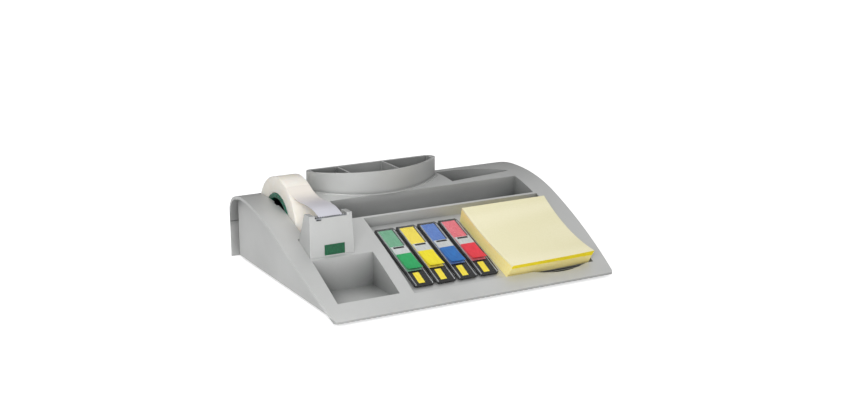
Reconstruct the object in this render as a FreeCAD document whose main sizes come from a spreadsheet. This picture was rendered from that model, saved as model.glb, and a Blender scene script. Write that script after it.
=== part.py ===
"""Desk organizer with tape dispenser, pen cup, refills and a rear drawer.

Millimetres, +Z up, +X to the right of the person at the desk, who sits at -Y.
The origin is on the desk under the middle of the organizer.
"""
import FreeCAD, Part
import math
import os

import Sketcher

# ---------------------------------------------------------------- driving sizes

SIZES = {
    # overall form of the moulded deck
    "width": 250.0,             # across the front edge
    "side_bow": 7.5,            # how far each long side bulges at mid depth
    "rear_gap": 27.0,           # rear end of the tape well to the rearmost point
    "corner_radius": 3.5,       # plan corners
    "foot_height": 3.0,         # desk to the underside of the case
    "lip_height": 4.6,          # desk to the top of the front edge
    "ramp_run": 100.0,          # front edge to the end of the long ramp
    "ramp_top": 50.3,
    "ramp_radius": 1000.0,
    "crest_gap": 46.5,          # crest to the rearmost point
    "crest_height": 61.7,
    "crest_radius": 170.0,
    "back_gap": 16.5,
    "back_top": 55.7,
    "back_radius": 80.0,
    "shoulder_radius": 26.0,
    "tail_height": 34.0,        # where the rear face stands upright
    "front_slope": 27.9,        # degrees, tangent of the deck at its corners
    "ramp_slope": 21.6,
    "back_slope": 22.0,
    "skin": 2.6,
    "side_wall": 2.2,
    "side_inset": 4.0,          # side wall behind the edge of the deck
    "wall_gap": 12.0,           # rear end of the side walls to the rearmost point
    "split_height": 31.5,       # lower edge of the rear band, above the drawer
    # pockets of the deck
    "bay_wall": 1.8,
    "tray_left": 9.5,
    "tray_width": 52.0,
    "tray_run": 15.8,
    "tray_length": 44.7,
    "tray_floor": 6.8,
    "recess_left": 73.0,
    "recess_width": 166.5,
    "recess_run": 16.0,
    "recess_end": 99.0,
    "recess_start": 9.6,
    "recess_tilt": 21.0,        # degrees, floor under the pad and the flag units
    "recess_bevel": 2.5,
    "recess_bevel_rise": 1.75,
    "slot_left": 58.0,
    "slot_width": 179.5,
    "slot_run": 101.0,
    "slot_length": 29.5,
    "slot_floor": 33.0,
    "bin_left": 177.5,
    "bin_right": 239.0,
    "bin_run": 136.5,
    "bin_tip_run": 143.5,
    "bin_back_run": 165.0,
    "bin_radius": 75.0,
    "scoop_left": 176.0,
    "scoop_right": 237.0,
    "scoop_run": 15.5,
    "scoop_radius": 80.0,
    "scoop_depth": 1.2,
    # pen cup
    "cup_centre": 111.8,
    "cup_bow": 28.0,            # how far the front wall bows out before its ends
    "cup_run": 131.0,
    "cup_back_run": 166.5,
    "cup_radius": 82.4,
    "cup_end_slant": 4.0,
    "cup_end_radius": 5.0,
    "cup_height": 78.3,
    "cup_floor": 33.0,
    "cup_wall": 2.2,
    "cup_divider": 1.6,
    "cup_first_divider": 81.0,
    "cup_second_divider": 124.0,
    "cup_flange": 2.4,
    "cup_flange_rise": 1.0,
    "cup_fit": 0.2,
    # tape well, spool and refill roll
    "well_left": 15.0,
    "well_side_gap": 1.5,       # roll to each wall of the well
    "well_wall": 3.0,
    "spool_run": 140.0,
    "roll_end_gap": 4.0,        # roll to the rear end of the well
    "roll_low_gap": 1.2,        # roll to the bottom plate
    "axle_radius": 4.0,
    "axle_fit": 0.08,
    "groove_depth": 1.5,
    "groove_ease": 0.0001,      # keeps the groove's round just larger than half its width
    "axle_end_gap": 0.25,
    "tape_width": 19.0,
    "roll_radius": 38.0,
    "core_radius": 24.6,
    "core_wall": 2.3,
    "core_fit": 0.05,
    "spool_rim": 2.0,
    "spool_web": 2.0,
    "strip_thickness": 0.3,
    "strip_gap": 0.3,
    "strip_leave": 125.0,       # degrees round the roll where the tape leaves it
    "strip_bend": 40.0,
    "strip_end_slope": 4.5,
    # cutter nose
    "nose_left": 9.5,
    "nose_width": 35.6,         # at the top
    "nose_flare": 1.8,          # how much wider it is at its seat, on the right
    "nose_run": 63.0,
    "nose_length": 23.0,
    "nose_seat": 33.8,
    "nose_height": 67.8,
    "nose_platform": 65.5,
    "nose_flat": 10.2,
    "nose_tail_height": 38.0,
    "nose_cheek": 4.3,
    "nose_wall": 2.0,
    "nose_fit": 0.2,
    "blade_length": 26.6,
    "blade_height": 4.4,
    "blade_thickness": 0.5,
    "blade_setback": 0.8,
    "blade_stand": 1.2,
    "blade_fit": 0.05,
    "tooth_pitch": 2.0,
    "tooth_depth": 0.9,
    "tooth_land": 0.1,
    "label_left": 21.5,
    "label_width": 16.0,
    "label_bottom": 36.6,
    "label_height": 7.6,
    "label_thickness": 0.4,
    # index flag units, sizes along the sloping floor
    "unit_first": 78.0,
    "unit_pitch": 19.5,
    "unit_width": 16.2,
    "unit_run": 7.1,
    "unit_length": 73.0,
    "unit_height": 3.4,
    "unit_nose_height": 2.2,
    "unit_nose_length": 15.0,
    "unit_corner": 2.0,
    "unit_floor": 1.2,
    "flag_width": 12.8,
    "pack_length": 54.0,
    "pack_thickness": 1.9,
    "pack_gap": 0.3,
    "cover_length": 57.0,
    "cover_side": 0.6,
    "cover_thickness": 0.9,
    "cover_slot_run": 29.0,
    "cover_slot_width": 2.2,
    "lead_thickness": 0.25,
    "lead_length": 29.5,
    "rest_gap": 0.1,
    "rib_width": 1.5,           # ribs of the shell between the units
    "rib_height": 2.4,
    "rib_run": 25.0,
    # note pad
    "pad_left": 157.8,
    "pad_width": 77.5,          # 76 mm sheets, slightly fanned
    "pad_length": 79.0,
    "pad_run": 0.4,
    "pad_height": 11.0,
    "pad_back_rise": 2.2,       # the glued rear edge stands higher than the front
    "pad_sag_radius": 260.0,
    "sheets_thickness": 1.1,
    # base, drawer, feet and screws
    "plate_thickness": 1.8,
    "plate_run": 9.0,
    "plate_fit": 0.4,
    "rail_height": 6.0,
    "rail_thickness": 1.6,
    "rail_fit": 0.4,
    "tray_lift": 0.3,
    "drawer_left": 45.6,
    "drawer_right": 240.4,
    "drawer_run": 105.0,
    "drawer_top": 29.0,
    "drawer_wall": 1.6,
    "drawer_front_bottom": 0.5,
    "drawer_gap": 0.5,
    "drawer_panel": 2.6,
    "drawer_panel_lean": 1.8,
    "drawer_panel_radius": 190.0,
    "drawer_grip_width": 60.0,
    "drawer_grip_height": 7.0,
    "drawer_grip_reach": 6.5,
    "foot_radius": 6.0,
    "foot_seat": 0.6,
    "foot_side": 19.0,
    "foot_front_run": 22.0,
    "foot_back_gap": 29.0,
    "boss_radius": 3.4,
    "screw_radius": 1.5,
    "screw_length": 9.0,
    "screw_head_radius": 2.8,
    "screw_head_height": 1.0,
    "pilot_radius": 1.55,
    "screw_near_left": 67.2,
    "screw_near_right": 226.0,
    "screw_front_run": 40.0,
    "screw_back_run": 90.0,
}

doc = FreeCAD.newDocument("DeskOrganizer")
sheet = doc.addObject("Spreadsheet::Sheet", "Sizes")
for row, (alias, number) in enumerate(SIZES.items(), 1):
    sheet.set(f"A{row}", alias)
    sheet.set(f"B{row}", str(number))
    sheet.setAlias(f"B{row}", alias)
doc.recompute()


class Size:
    """A number together with the spreadsheet expression that gives it."""

    def __init__(self, value, text):
        self.value = value
        self.text = text

    def __add__(self, other):
        other = as_size(other)
        return Size(self.value + other.value, f"({self.text} + {other.text})")

    def __sub__(self, other):
        other = as_size(other)
        return Size(self.value - other.value, f"({self.text} - {other.text})")

    def __mul__(self, other):
        other = as_size(other)
        return Size(self.value * other.value, f"({self.text} * {other.text})")

    def __truediv__(self, other):
        other = as_size(other)
        return Size(self.value / other.value, f"({self.text} / {other.text})")

    def __neg__(self):
        return Size(-self.value, f"(0 - {self.text})")


def as_size(number):
    return number if isinstance(number, Size) else Size(float(number), str(number))


def size(alias):
    return Size(float(sheet.get(alias)), f"Sizes.{alias}")


def root(number):
    return Size(math.sqrt(number.value), f"sqrt({number.text})")


def sine(degrees):
    return Size(math.sin(math.radians(degrees.value)), f"sin({degrees.text})")


def cosine(degrees):
    return Size(math.cos(math.radians(degrees.value)), f"cos({degrees.text})")


def tangent(degrees):
    return Size(math.tan(math.radians(degrees.value)), f"tan({degrees.text})")


def well_end():
    """Rear end of the tape well, which leaves room behind the full roll."""
    return size("spool_run") + size("roll_radius") + size("roll_end_gap")


def depth():
    """Front edge to the rearmost point."""
    return well_end() + size("rear_gap")


def across(left):
    """X of a distance measured from the left end of the front edge."""
    return left - size("width") / 2


def along(run):
    """Y of a distance measured back from the front edge."""
    return run - depth() / 2


def before_back(gap):
    """Distance back from the front edge of something that stands this far before the rear."""
    return depth() - size(gap)


# ---------------------------------------------------------------- modelling steps

def bind(thing, prop, amount):
    """Tie one property of an object to the sheet."""
    thing.setExpression(prop, as_size(amount).text)


def place(thing, x, y, z, tilt=None):
    """Put an object at x, y, z, tilted about X when asked."""
    axis = FreeCAD.Vector(1, 0, 0)
    angle = tilt.value if tilt else 0.0
    spot = FreeCAD.Vector(as_size(x).value, as_size(y).value, as_size(z).value)
    thing.Placement = FreeCAD.Placement(spot, FreeCAD.Rotation(axis, angle))
    bind(thing, "Placement.Base.x", x)
    bind(thing, "Placement.Base.y", y)
    bind(thing, "Placement.Base.z", z)
    if tilt:
        bind(thing, "Placement.Rotation.Angle", tilt)
    return thing


def new_body(label):
    body = doc.addObject("PartDesign::Body", label)
    body.Label = label
    return body


def new_sketch(body, role, offset=None):
    """A sketch on one of the body's origin planes, moved along its normal by offset."""
    plane = [item for item in body.Origin.OriginFeatures if item.Role == role][0]
    sketch = body.newObject("Sketcher::SketchObject", body.Label + "_sketch")
    sketch.AttachmentSupport = (plane, [""])
    sketch.MapMode = "FlatFace"
    if offset is not None:
        sketch.AttachmentOffset = FreeCAD.Placement(
            FreeCAD.Vector(0, 0, offset.value), FreeCAD.Rotation())
        bind(sketch, "AttachmentOffset.Base.z", offset)
    return sketch


def datum(sketch, kind, geometry, amount):
    """A dimension of the sketch, tied to the sheet."""
    amount = as_size(amount)
    index = sketch.addConstraint(Sketcher.Constraint(kind, *geometry, amount.value))
    sketch.setExpression(f"Constraints[{index}]", amount.text)


def arc_between(start, end, radius, turns_left):
    """Minor arc from start to end whose centre lies to the left of the way, or to the right."""
    chord = end - start
    middle = (start + end) * 0.5
    rise = math.sqrt(radius ** 2 - (chord.Length / 2) ** 2)
    left = FreeCAD.Vector(-chord.y, chord.x, 0).normalize()
    centre = middle + left * (rise if turns_left else -rise)
    first, last = (start, end) if turns_left else (end, start)
    from_angle = math.atan2(first.y - centre.y, first.x - centre.x)
    to_angle = math.atan2(last.y - centre.y, last.x - centre.x)
    circle = Part.Circle(centre, FreeCAD.Vector(0, 0, 1), radius)
    return Part.ArcOfCircle(circle, from_angle, to_angle)


def outline(sketch, corners, bulges=None, hollows=None):
    """Closed loop, counter-clockwise; bulges and hollows give the radius of a curved side."""
    bulges = bulges or {}
    hollows = hollows or {}
    corners = [(as_size(u), as_size(v)) for u, v in corners]
    spots = [FreeCAD.Vector(u.value, v.value, 0) for u, v in corners]
    count = len(corners)
    ends = []
    for side in range(count):
        start = spots[side]
        end = spots[(side + 1) % count]
        if side in bulges:
            number = sketch.addGeometry(arc_between(start, end, bulges[side].value, True))
            ends.append((number, 1, 2))
        elif side in hollows:
            number = sketch.addGeometry(arc_between(start, end, hollows[side].value, False))
            ends.append((number, 2, 1))
        else:
            ends.append((sketch.addGeometry(Part.LineSegment(start, end)), 1, 2))
    for side in range(count):
        number, _, finish = ends[side]
        following, begin, _ = ends[(side + 1) % count]
        sketch.addConstraint(Sketcher.Constraint("Coincident", number, finish, following, begin))
    for side, (u, v) in enumerate(corners):
        number, begin, _ = ends[side]
        datum(sketch, "DistanceX", (-1, 1, number, begin), u)
        datum(sketch, "DistanceY", (-1, 1, number, begin), v)
        radius = bulges.get(side) or hollows.get(side)
        if radius:
            datum(sketch, "Radius", (number,), radius)


def rectangle(sketch, left, bottom, width, height):
    outline(sketch, [(left, bottom), (left + width, bottom),
                     (left + width, bottom + height), (left, bottom + height)])


def circle(sketch, u, v, radius):
    centre = FreeCAD.Vector(as_size(u).value, as_size(v).value, 0)
    number = sketch.addGeometry(Part.Circle(centre, FreeCAD.Vector(0, 0, 1), radius.value))
    datum(sketch, "DistanceX", (-1, 1, number, 3), u)
    datum(sketch, "DistanceY", (-1, 1, number, 3), v)
    datum(sketch, "Radius", (number,), radius)


def pad(body, sketch, length, symmetric=False, backwards=False):
    feature = body.newObject("PartDesign::Pad", body.Label + "_pad")
    feature.Profile = sketch
    if symmetric:
        feature.SideType = "Symmetric"
    feature.Reversed = backwards
    bind(feature, "Length", length)
    return feature


def pocket(body, sketch, length, symmetric=False, backwards=False):
    """Cut the sketch out of the body, and make sure that it removes material."""
    doc.recompute()
    before = body.Shape.Volume
    feature = body.newObject("PartDesign::Pocket", body.Label + "_pocket")
    feature.Profile = sketch
    if symmetric:
        feature.SideType = "Symmetric"
    feature.Reversed = backwards
    bind(feature, "Length", length)
    doc.recompute()
    if body.Shape.Volume > before - 1e-6:
        raise RuntimeError(f"{feature.Name} cuts nothing")
    return feature


def repeat(body, feature, sketch, length, count):
    """Repeat a cut along the sketch's horizontal axis, and make sure that every copy counts."""
    before = body.Shape.Volume
    pattern = body.newObject("PartDesign::LinearPattern", body.Label + "_pattern")
    pattern.Originals = [feature]
    pattern.Direction = (sketch, ["H_Axis"])
    bind(pattern, "Length", length)
    bind(pattern, "Occurrences", count)
    body.Tip = pattern
    doc.recompute()
    if body.Shape.Volume > before - 1e-6:
        raise RuntimeError(f"{pattern.Name} cuts nothing")
    return body


def revolve(body, sketch):
    feature = body.newObject("PartDesign::Revolution", body.Label + "_revolution")
    feature.Profile = sketch
    feature.ReferenceAxis = (sketch, ["H_Axis"])
    feature.Angle = 360.0
    return feature


def round_edges(body, radius, wanted):
    """Fillet the edges of the body that the test picks."""
    doc.recompute()
    base = body.Tip
    names = [f"Edge{number}" for number, edge in enumerate(base.Shape.Edges, 1) if wanted(edge)]
    if not names:
        raise RuntimeError(f"no edge to round on {body.Label}")
    feature = body.newObject("PartDesign::Fillet", body.Label + "_fillet")
    feature.Base = (base, names)
    bind(feature, "Radius", radius)
    doc.recompute()
    return feature


def is_upright(edge):
    ends = edge.Vertexes
    if len(ends) != 2:
        return False
    way = ends[1].Point - ends[0].Point
    return way.Length > 0.5 and abs(way.z) > 0.999 * way.Length


def box(label, x, y, z, length, width, height):
    """Block with its low corner at x, y, z."""
    block = doc.addObject("Part::Box", label)
    bind(block, "Length", length)
    bind(block, "Width", width)
    bind(block, "Height", height)
    return place(block, x, y, z)


def post(label, x, y, z, radius, height):
    """Upright cylinder standing at x, y, z."""
    rod = doc.addObject("Part::Cylinder", label)
    bind(rod, "Radius", radius)
    bind(rod, "Height", height)
    return place(rod, x, y, z)


def fused(label, pieces):
    joined = doc.addObject("Part::MultiFuse", label)
    joined.Shapes = pieces
    joined.Refine = True
    return joined


def cut(label, base, tool):
    left_over = doc.addObject("Part::Cut", label)
    left_over.Base = base
    left_over.Tool = tool
    left_over.Refine = True
    return left_over


def common(label, first, second):
    shared = doc.addObject("Part::MultiCommon", label)
    shared.Shapes = [first, second]
    return shared


def group(label, pieces):
    gathered = doc.addObject("Part::Compound", label)
    gathered.Links = pieces
    return gathered


# ---------------------------------------------------------------- the deck's shape

def deck_corner(run, height, slope, inset):
    """Corner of the deck curve, moved inwards square to the curve."""
    return (along(run) + inset * sine(slope), height - inset * cosine(slope))


def deck_curve(inset, lift):
    """Corners of the deck from the tail to the front lip, and the radii between them."""
    tail = (along(depth()) - inset, size("tail_height") + lift)
    back = deck_corner(before_back("back_gap"), size("back_top") + lift, -size("back_slope"), inset)
    crest = (along(before_back("crest_gap")), size("crest_height") + lift - inset)
    ramp = deck_corner(size("ramp_run"), size("ramp_top") + lift, size("ramp_slope"), inset)
    lip = deck_corner(as_size(0), size("lip_height") + lift, size("front_slope"), inset)
    radii = [size("shoulder_radius") - inset, size("back_radius") - inset,
             size("crest_radius") - inset, size("ramp_radius") - inset]
    return [tail, back, crest, ramp, lip], radii


def outer_form(label, width, lift=0):
    """Solid under the deck, down to the underside of the case, as wide as asked."""
    curve, radii = deck_curve(as_size(0), as_size(lift))
    body = new_body(label)
    sketch = new_sketch(body, "YZ_Plane")
    underside = [(along(as_size(0)), size("foot_height")),
                 (along(before_back("wall_gap")), size("foot_height")),
                 (along(before_back("wall_gap")), size("split_height")),
                 (along(depth()), size("split_height"))]
    outline(sketch, underside + curve, bulges=dict(enumerate(radii, len(underside))))
    pad(body, sketch, width, symmetric=True)
    return body


def inner_form(label, start, length):
    """Space under the deck's skin, from start towards +X, open at the bottom and the rear."""
    curve, radii = deck_curve(size("skin"), as_size(0))
    body = new_body(label)
    sketch = new_sketch(body, "YZ_Plane", start)
    below = -size("skin")
    bottom = [(curve[-1][0], below), (curve[0][0], below)]
    outline(sketch, bottom + curve, bulges=dict(enumerate(radii, len(bottom))))
    pad(body, sketch, length)
    return body


def plan_form(label, low, height):
    """Footprint of the deck with its two bowed sides and rounded corners."""
    half_width = size("width") / 2
    half_depth = depth() / 2
    bow = size("side_bow")
    radius = (half_depth * half_depth + bow * bow) / (bow * 2)
    body = new_body(label)
    sketch = new_sketch(body, "XY_Plane", low)
    outline(sketch, [(-half_width, -half_depth), (half_width, -half_depth),
                     (half_width, half_depth), (-half_width, half_depth)],
            bulges={1: radius, 3: radius})
    pad(body, sketch, height)
    round_edges(body, size("corner_radius"), is_upright)
    return body


def full_height():
    return size("cup_height") + size("foot_height")


def full_width():
    return size("width") + size("side_bow") * 2


def half_inside():
    """Half the clear width between the two side walls."""
    return size("width") / 2 - size("side_inset") - size("side_wall")


# ---------------------------------------------------------------- pockets of the deck

def recess_floor(run):
    """Height of the sloping floor of the large recess."""
    return size("recess_start") + (run - size("recess_run")) * tangent(size("recess_tilt"))


def recess(label, grow):
    """Large shallow recess for the flag units and the note pad, with its sloping floor."""
    run = size("recess_run")
    end = size("recess_end")
    bevel = size("recess_bevel")
    body = new_body(label)
    sketch = new_sketch(body, "YZ_Plane", across(size("recess_left")) - grow)
    outline(sketch, [(along(run), size("recess_start") - grow),
                     (along(end) + grow, recess_floor(end) - grow),
                     (along(end) + grow, full_height()),
                     (along(run) - bevel - grow, full_height()),
                     (along(run) - bevel - grow, size("recess_start") + size("recess_bevel_rise"))])
    pad(body, sketch, size("recess_width") + grow * 2)
    return body


def unit_rib(number):
    """Low rib on the sloping floor, midway between two flag units."""
    between = size("unit_pitch") - size("unit_width")
    left = unit_left(number) + size("unit_width") + between / 2 - size("rib_width") / 2
    run = size("rib_run")
    end = size("recess_end")
    height = size("rib_height") / cosine(size("recess_tilt"))
    body = new_body(f"unit_rib_{number}")
    sketch = new_sketch(body, "YZ_Plane", left)
    sunk = size("bay_wall") / 2
    outline(sketch, [(along(run), recess_floor(run) - sunk),
                     (along(end) + sunk, recess_floor(end) - sunk),
                     (along(end) + sunk, recess_floor(end) + height),
                     (along(run) + height, recess_floor(run) + height)])
    pad(body, sketch, size("rib_width"))
    return body


def side_bin(label, grow):
    """Leaf-shaped bin at the rear right, with a curved rear side."""
    body = new_body(label)
    sketch = new_sketch(body, "XY_Plane", size("slot_floor") - grow)
    left = across(size("bin_left")) - grow
    tip = across(size("bin_right")) + grow * 2
    outline(sketch, [(left, along(size("bin_run")) - grow),
                     (tip, along(size("bin_tip_run")) - grow),
                     (left, along(size("bin_back_run")) + grow)],
            bulges={1: size("bin_radius")})
    pad(body, sketch, full_height())
    return body


def cup_half():
    """Half the width of the pen cup, where the bow of its front wall ends."""
    rise = size("cup_radius") - size("cup_bow")
    return root(size("cup_radius") * size("cup_radius") - rise * rise)


def half_moon(sketch, grow):
    """Outline of the pen cup: a bowed front, a straight back and slanted ends."""
    centre = across(size("cup_centre"))
    radius = size("cup_radius") + grow
    pivot = along(size("cup_run")) + size("cup_radius")
    half = cup_half() + grow
    shoulder = half - size("cup_end_slant")
    front = pivot - root(radius * radius - half * half)
    back = along(size("cup_back_run")) + grow
    outline(sketch, [(centre - half, front), (centre + half, front),
                     (centre + shoulder, back), (centre - shoulder, back)],
            bulges={0: radius})


def moon_block(label, low, height, grow):
    body = new_body(label)
    sketch = new_sketch(body, "XY_Plane", low)
    half_moon(sketch, grow)
    pad(body, sketch, height)
    round_edges(body, size("cup_end_radius") + grow, is_upright)
    return body


def finger_scoop(label):
    """Shallow half-moon dip in the deck in front of the note pad."""
    left = across(size("scoop_left"))
    right = across(size("scoop_right"))
    run = along(size("scoop_run"))
    body = new_body(label)
    sketch = new_sketch(body, "XY_Plane", recess_floor(size("scoop_run")) - size("scoop_depth"))
    back = run + size("recess_bevel")
    outline(sketch, [(left, run), (right, run), (right, back), (left, back)],
            bulges={0: size("scoop_radius")})
    pad(body, sketch, full_height())
    return body


def pockets(stage, grow):
    """The straight-sided pockets: clip tray, letter slot, cutter seat and tape well."""
    height = full_height()
    tray = box(f"tray_{stage}", across(size("tray_left")) - grow, along(size("tray_run")) - grow,
               size("tray_floor") - grow, size("tray_width") + grow * 2,
               size("tray_length") + grow * 2, height)
    slot = box(f"slot_{stage}", across(size("slot_left")) - grow, along(size("slot_run")) - grow,
               size("slot_floor") - grow, size("slot_width") + grow * 2,
               size("slot_length") + grow * 2, height)
    fit = size("nose_fit")
    seat = box(f"seat_{stage}", across(size("nose_left")) - fit - grow,
               along(size("nose_run")) - fit - grow, size("nose_seat") - grow,
               size("nose_width") + size("nose_flare") + fit * 2 + grow * 2,
               size("nose_length") + fit * 2 + grow * 2, height)
    return [tray, slot, seat]


def well_width():
    return size("tape_width") + size("well_side_gap") * 2


def roll_centre():
    return across(size("well_left")) + well_width() / 2


def spool_height():
    return plate_top() + size("roll_low_gap") + size("roll_radius")


def well(stage, grow, low):
    start = size("nose_run") + size("nose_length") + size("nose_fit") + size("bay_wall")
    return box(f"well_{stage}", across(size("well_left")) - grow, along(start) - grow, low,
               well_width() + grow * 2, well_end() - start + grow * 2, full_height())


def axle_groove():
    """Open-topped groove in both walls of the well, round at the bottom for the spool's stubs."""
    radius = size("axle_radius") + size("axle_fit")
    reach = well_width() + size("groove_depth") * 2
    body = new_body("axle_groove")
    sketch = new_sketch(body, "YZ_Plane", roll_centre())
    y = along(size("spool_run"))
    z = spool_height()
    outline(sketch, [(y - radius, z), (y + radius, z),
                     (y + radius, full_height()), (y - radius, full_height())],
            bulges={0: radius + size("groove_ease")})
    pad(body, sketch, reach, symmetric=True)
    return body


def plate_top():
    return size("foot_height") + size("plate_thickness")


def screw_spots():
    return [(across(size(side)), along(size(run)))
            for side in ("screw_near_left", "screw_near_right")
            for run in ("screw_front_run", "screw_back_run")]


# ---------------------------------------------------------------- sub-parts of the case

def top_shell():
    """One moulding: curved deck, rear band, side walls, pockets and screw bosses."""
    block = common("deck_block", outer_form("deck_side", full_width()),
                   plan_form("deck_plan", as_size(0), full_height()))
    inside = half_inside()
    wall_face = inside + size("side_wall")
    lip = full_width() / 2 - wall_face
    under_middle = inner_form("under_middle", -inside, inside * 2)
    under_left = inner_form("under_left", -wall_face - lip, lip)
    under_right = inner_form("under_right", wall_face, lip)
    rear_space = common(
        "rear_space", inner_form("under_rear", -full_width() / 2, full_width()),
        box("rear_limit", -full_width() / 2, along(before_back("wall_gap")), as_size(0),
            full_width(), depth(), full_height()))
    grow = size("bay_wall")
    clear = size("plate_fit") / 2
    blocks = pockets("block", grow) + [
        recess("recess_block", grow),
        side_bin("bin_block", grow),
        well("block", size("well_wall"), plate_top() + clear),
    ]
    for number, (x, y) in enumerate(screw_spots(), 1):
        blocks.append(post(f"boss_{number}", x, y, plate_top() + clear,
                           size("boss_radius"), full_height()))
    space = fused("under_space", [under_middle, under_left, under_right, rear_space])
    space = cut("under_deck", space, fused("pocket_blocks", blocks))
    voids = pockets("void", as_size(0)) + [
        recess("recess_void", as_size(0)),
        side_bin("bin_void", as_size(0)),
        well("void", as_size(0), as_size(0)),
        moon_block("cup_hole", as_size(0), full_height(), size("cup_fit")),
        finger_scoop("scoop_void"),
        axle_groove(),
    ]
    for number, (x, y) in enumerate(screw_spots(), 1):
        voids.append(post(f"pilot_{number}", x, y, as_size(0), size("pilot_radius"),
                          plate_top() + size("screw_length")))
    shell = cut("deck_moulding", block, space)
    open_shell = cut("open_moulding", shell, fused("pocket_voids", voids))
    return fused("top_shell", [open_shell] + [unit_rib(number) for number in range(1, 4)])


def pen_cup():
    """Drop-in cup with three bays; its low flange follows the curve of the deck."""
    low = size("cup_floor") - size("bay_wall")
    wall = size("cup_wall")
    body = moon_block("cup_body", low, size("cup_height") - low, as_size(0))
    centre = across(size("cup_centre"))
    pivot = along(size("cup_run")) + size("cup_radius")
    radius = size("cup_radius") - wall
    half = cup_half() - wall - size("cup_end_slant")
    back = along(size("cup_back_run")) - wall
    gap = size("cup_divider") / 2
    first = across(size("cup_first_divider"))
    second = across(size("cup_second_divider"))
    bays = [(centre - half, first - gap), (first + gap, second - gap), (second + gap, centre + half)]
    for left, right in bays:
        sketch = new_sketch(body, "XY_Plane", size("cup_height"))
        fronts = [pivot - root(radius * radius - (x - centre) * (x - centre)) for x in (left, right)]
        outline(sketch, [(left, fronts[0]), (right, fronts[1]), (right, back), (left, back)],
                bulges={0: radius})
        pocket(body, sketch, size("cup_height") - size("cup_floor"))
    ring = moon_block("flange_block", size("split_height"), full_height(), size("cup_flange"))
    raised = outer_form("flange_top", full_width(), size("cup_flange_rise"))
    flange = cut("cup_flange_ring", common("flange_slab", ring, raised),
                 outer_form("flange_seat", full_width()))
    outside = cut("cup_flange_open", flange,
                  moon_block("flange_hole", as_size(0), full_height(), as_size(0)))
    return fused("pen_cup", [body, outside])


def base_plate():
    """Flat bottom plate with drawer rails, foot recesses and screw holes."""
    half = half_inside() - size("plate_fit")
    body = new_body("base_plate")
    sketch = new_sketch(body, "XY_Plane", size("foot_height"))
    run = along(size("plate_run"))
    rectangle(sketch, -half, run, half * 2, along(before_back("wall_gap")) - run)
    pad(body, sketch, size("plate_thickness"))
    rail = size("rail_thickness")
    fit = size("rail_fit")
    start = along(size("drawer_run"))
    for left in (across(size("drawer_left")) - fit - rail, across(size("drawer_right")) + fit):
        sketch = new_sketch(body, "XY_Plane", plate_top())
        rectangle(sketch, left, start, rail, along(before_back("wall_gap")) - start)
        pad(body, sketch, size("rail_height"))
    for x, y in screw_spots():
        sketch = new_sketch(body, "XY_Plane", size("foot_height"))
        circle(sketch, x, y, size("pilot_radius"))
        pocket(body, sketch, size("plate_thickness"), backwards=True)
    for x, y in foot_spots():
        sketch = new_sketch(body, "XY_Plane", size("foot_height"))
        circle(sketch, x, y, size("foot_radius") + size("axle_fit"))
        pocket(body, sketch, size("foot_seat"), backwards=True)
    return body


def foot_spots():
    side = half_inside() - size("foot_side") + size("foot_radius")
    runs = (size("foot_front_run"), before_back("foot_back_gap"))
    return [(x, along(run)) for x in (-side, side) for run in runs]


def rubber_feet():
    """Four round rubber pads seated in the base plate."""
    pads = [post(f"foot_{number}", x, y, as_size(0), size("foot_radius"),
                 size("foot_height") + size("foot_seat"))
            for number, (x, y) in enumerate(foot_spots(), 1)]
    return group("rubber_feet", pads)


def base_screws():
    """Four pan-head screws that hold the base plate to the shell."""
    screws = []
    low = size("foot_height")
    head = size("screw_head_height")
    for number, (x, y) in enumerate(screw_spots(), 1):
        cap = post(f"screw_cap_{number}", x, y, low - head, size("screw_head_radius"), head)
        shank = post(f"screw_shank_{number}", x, y, low, size("screw_radius"),
                     size("screw_length"))
        screws.append(fused(f"screw_{number}", [cap, shank]))
    return group("base_screws", screws)


def drawer():
    """Drawer that opens to the rear: open tray behind a curved full-width panel."""
    low = plate_top() + size("tray_lift")
    wall = size("drawer_wall")
    left = across(size("drawer_left"))
    width = size("drawer_right") - size("drawer_left")
    start = along(size("drawer_run"))
    top = size("split_height") - size("drawer_gap")
    back = along(depth())
    thickness = size("drawer_panel")
    lean = size("drawer_panel_lean")
    bottom = size("drawer_front_bottom")
    radius = size("drawer_panel_radius")

    panel = new_body("drawer_panel_side")
    sketch = new_sketch(panel, "YZ_Plane")
    outline(sketch, [(back - lean - thickness, bottom), (back - lean, bottom),
                     (back, top), (back - thickness, top)],
            bulges={1: radius}, hollows={3: radius - thickness})
    pad(panel, sketch, full_width(), symmetric=True)
    panel = common("drawer_panel", panel, plan_form("drawer_plan", as_size(0), full_height()))
    face = back - lean - thickness
    outer = box("drawer_outer", left, start, low, width, face + thickness / 2 - start,
                size("drawer_top") - low)
    joined = fused("drawer_solid", [panel, outer])
    grip_reach = size("drawer_grip_reach")
    half = size("drawer_grip_width") / 2
    rise = size("drawer_grip_height")
    inner = box("drawer_inner", left + wall, start + wall, low + wall, width - wall * 2,
                face - grip_reach - wall * 2 - start, full_height())
    hand = box("drawer_hand", -half, face - grip_reach, as_size(0), half * 2, grip_reach,
               bottom + rise + wall)
    notch = new_body("drawer_notch")
    sketch = new_sketch(notch, "XZ_Plane", -face)
    notch_radius = (half * half + rise * rise) / (rise * 2)
    outline(sketch, [(-half, bottom - wall), (half, bottom - wall), (half, bottom),
                     (-half, bottom)], bulges={2: notch_radius})
    pad(notch, sketch, thickness + lean * 2, backwards=True)
    return cut("drawer", joined, fused("drawer_spaces", [inner, hand, notch]))


# ---------------------------------------------------------------- tape dispenser

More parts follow.
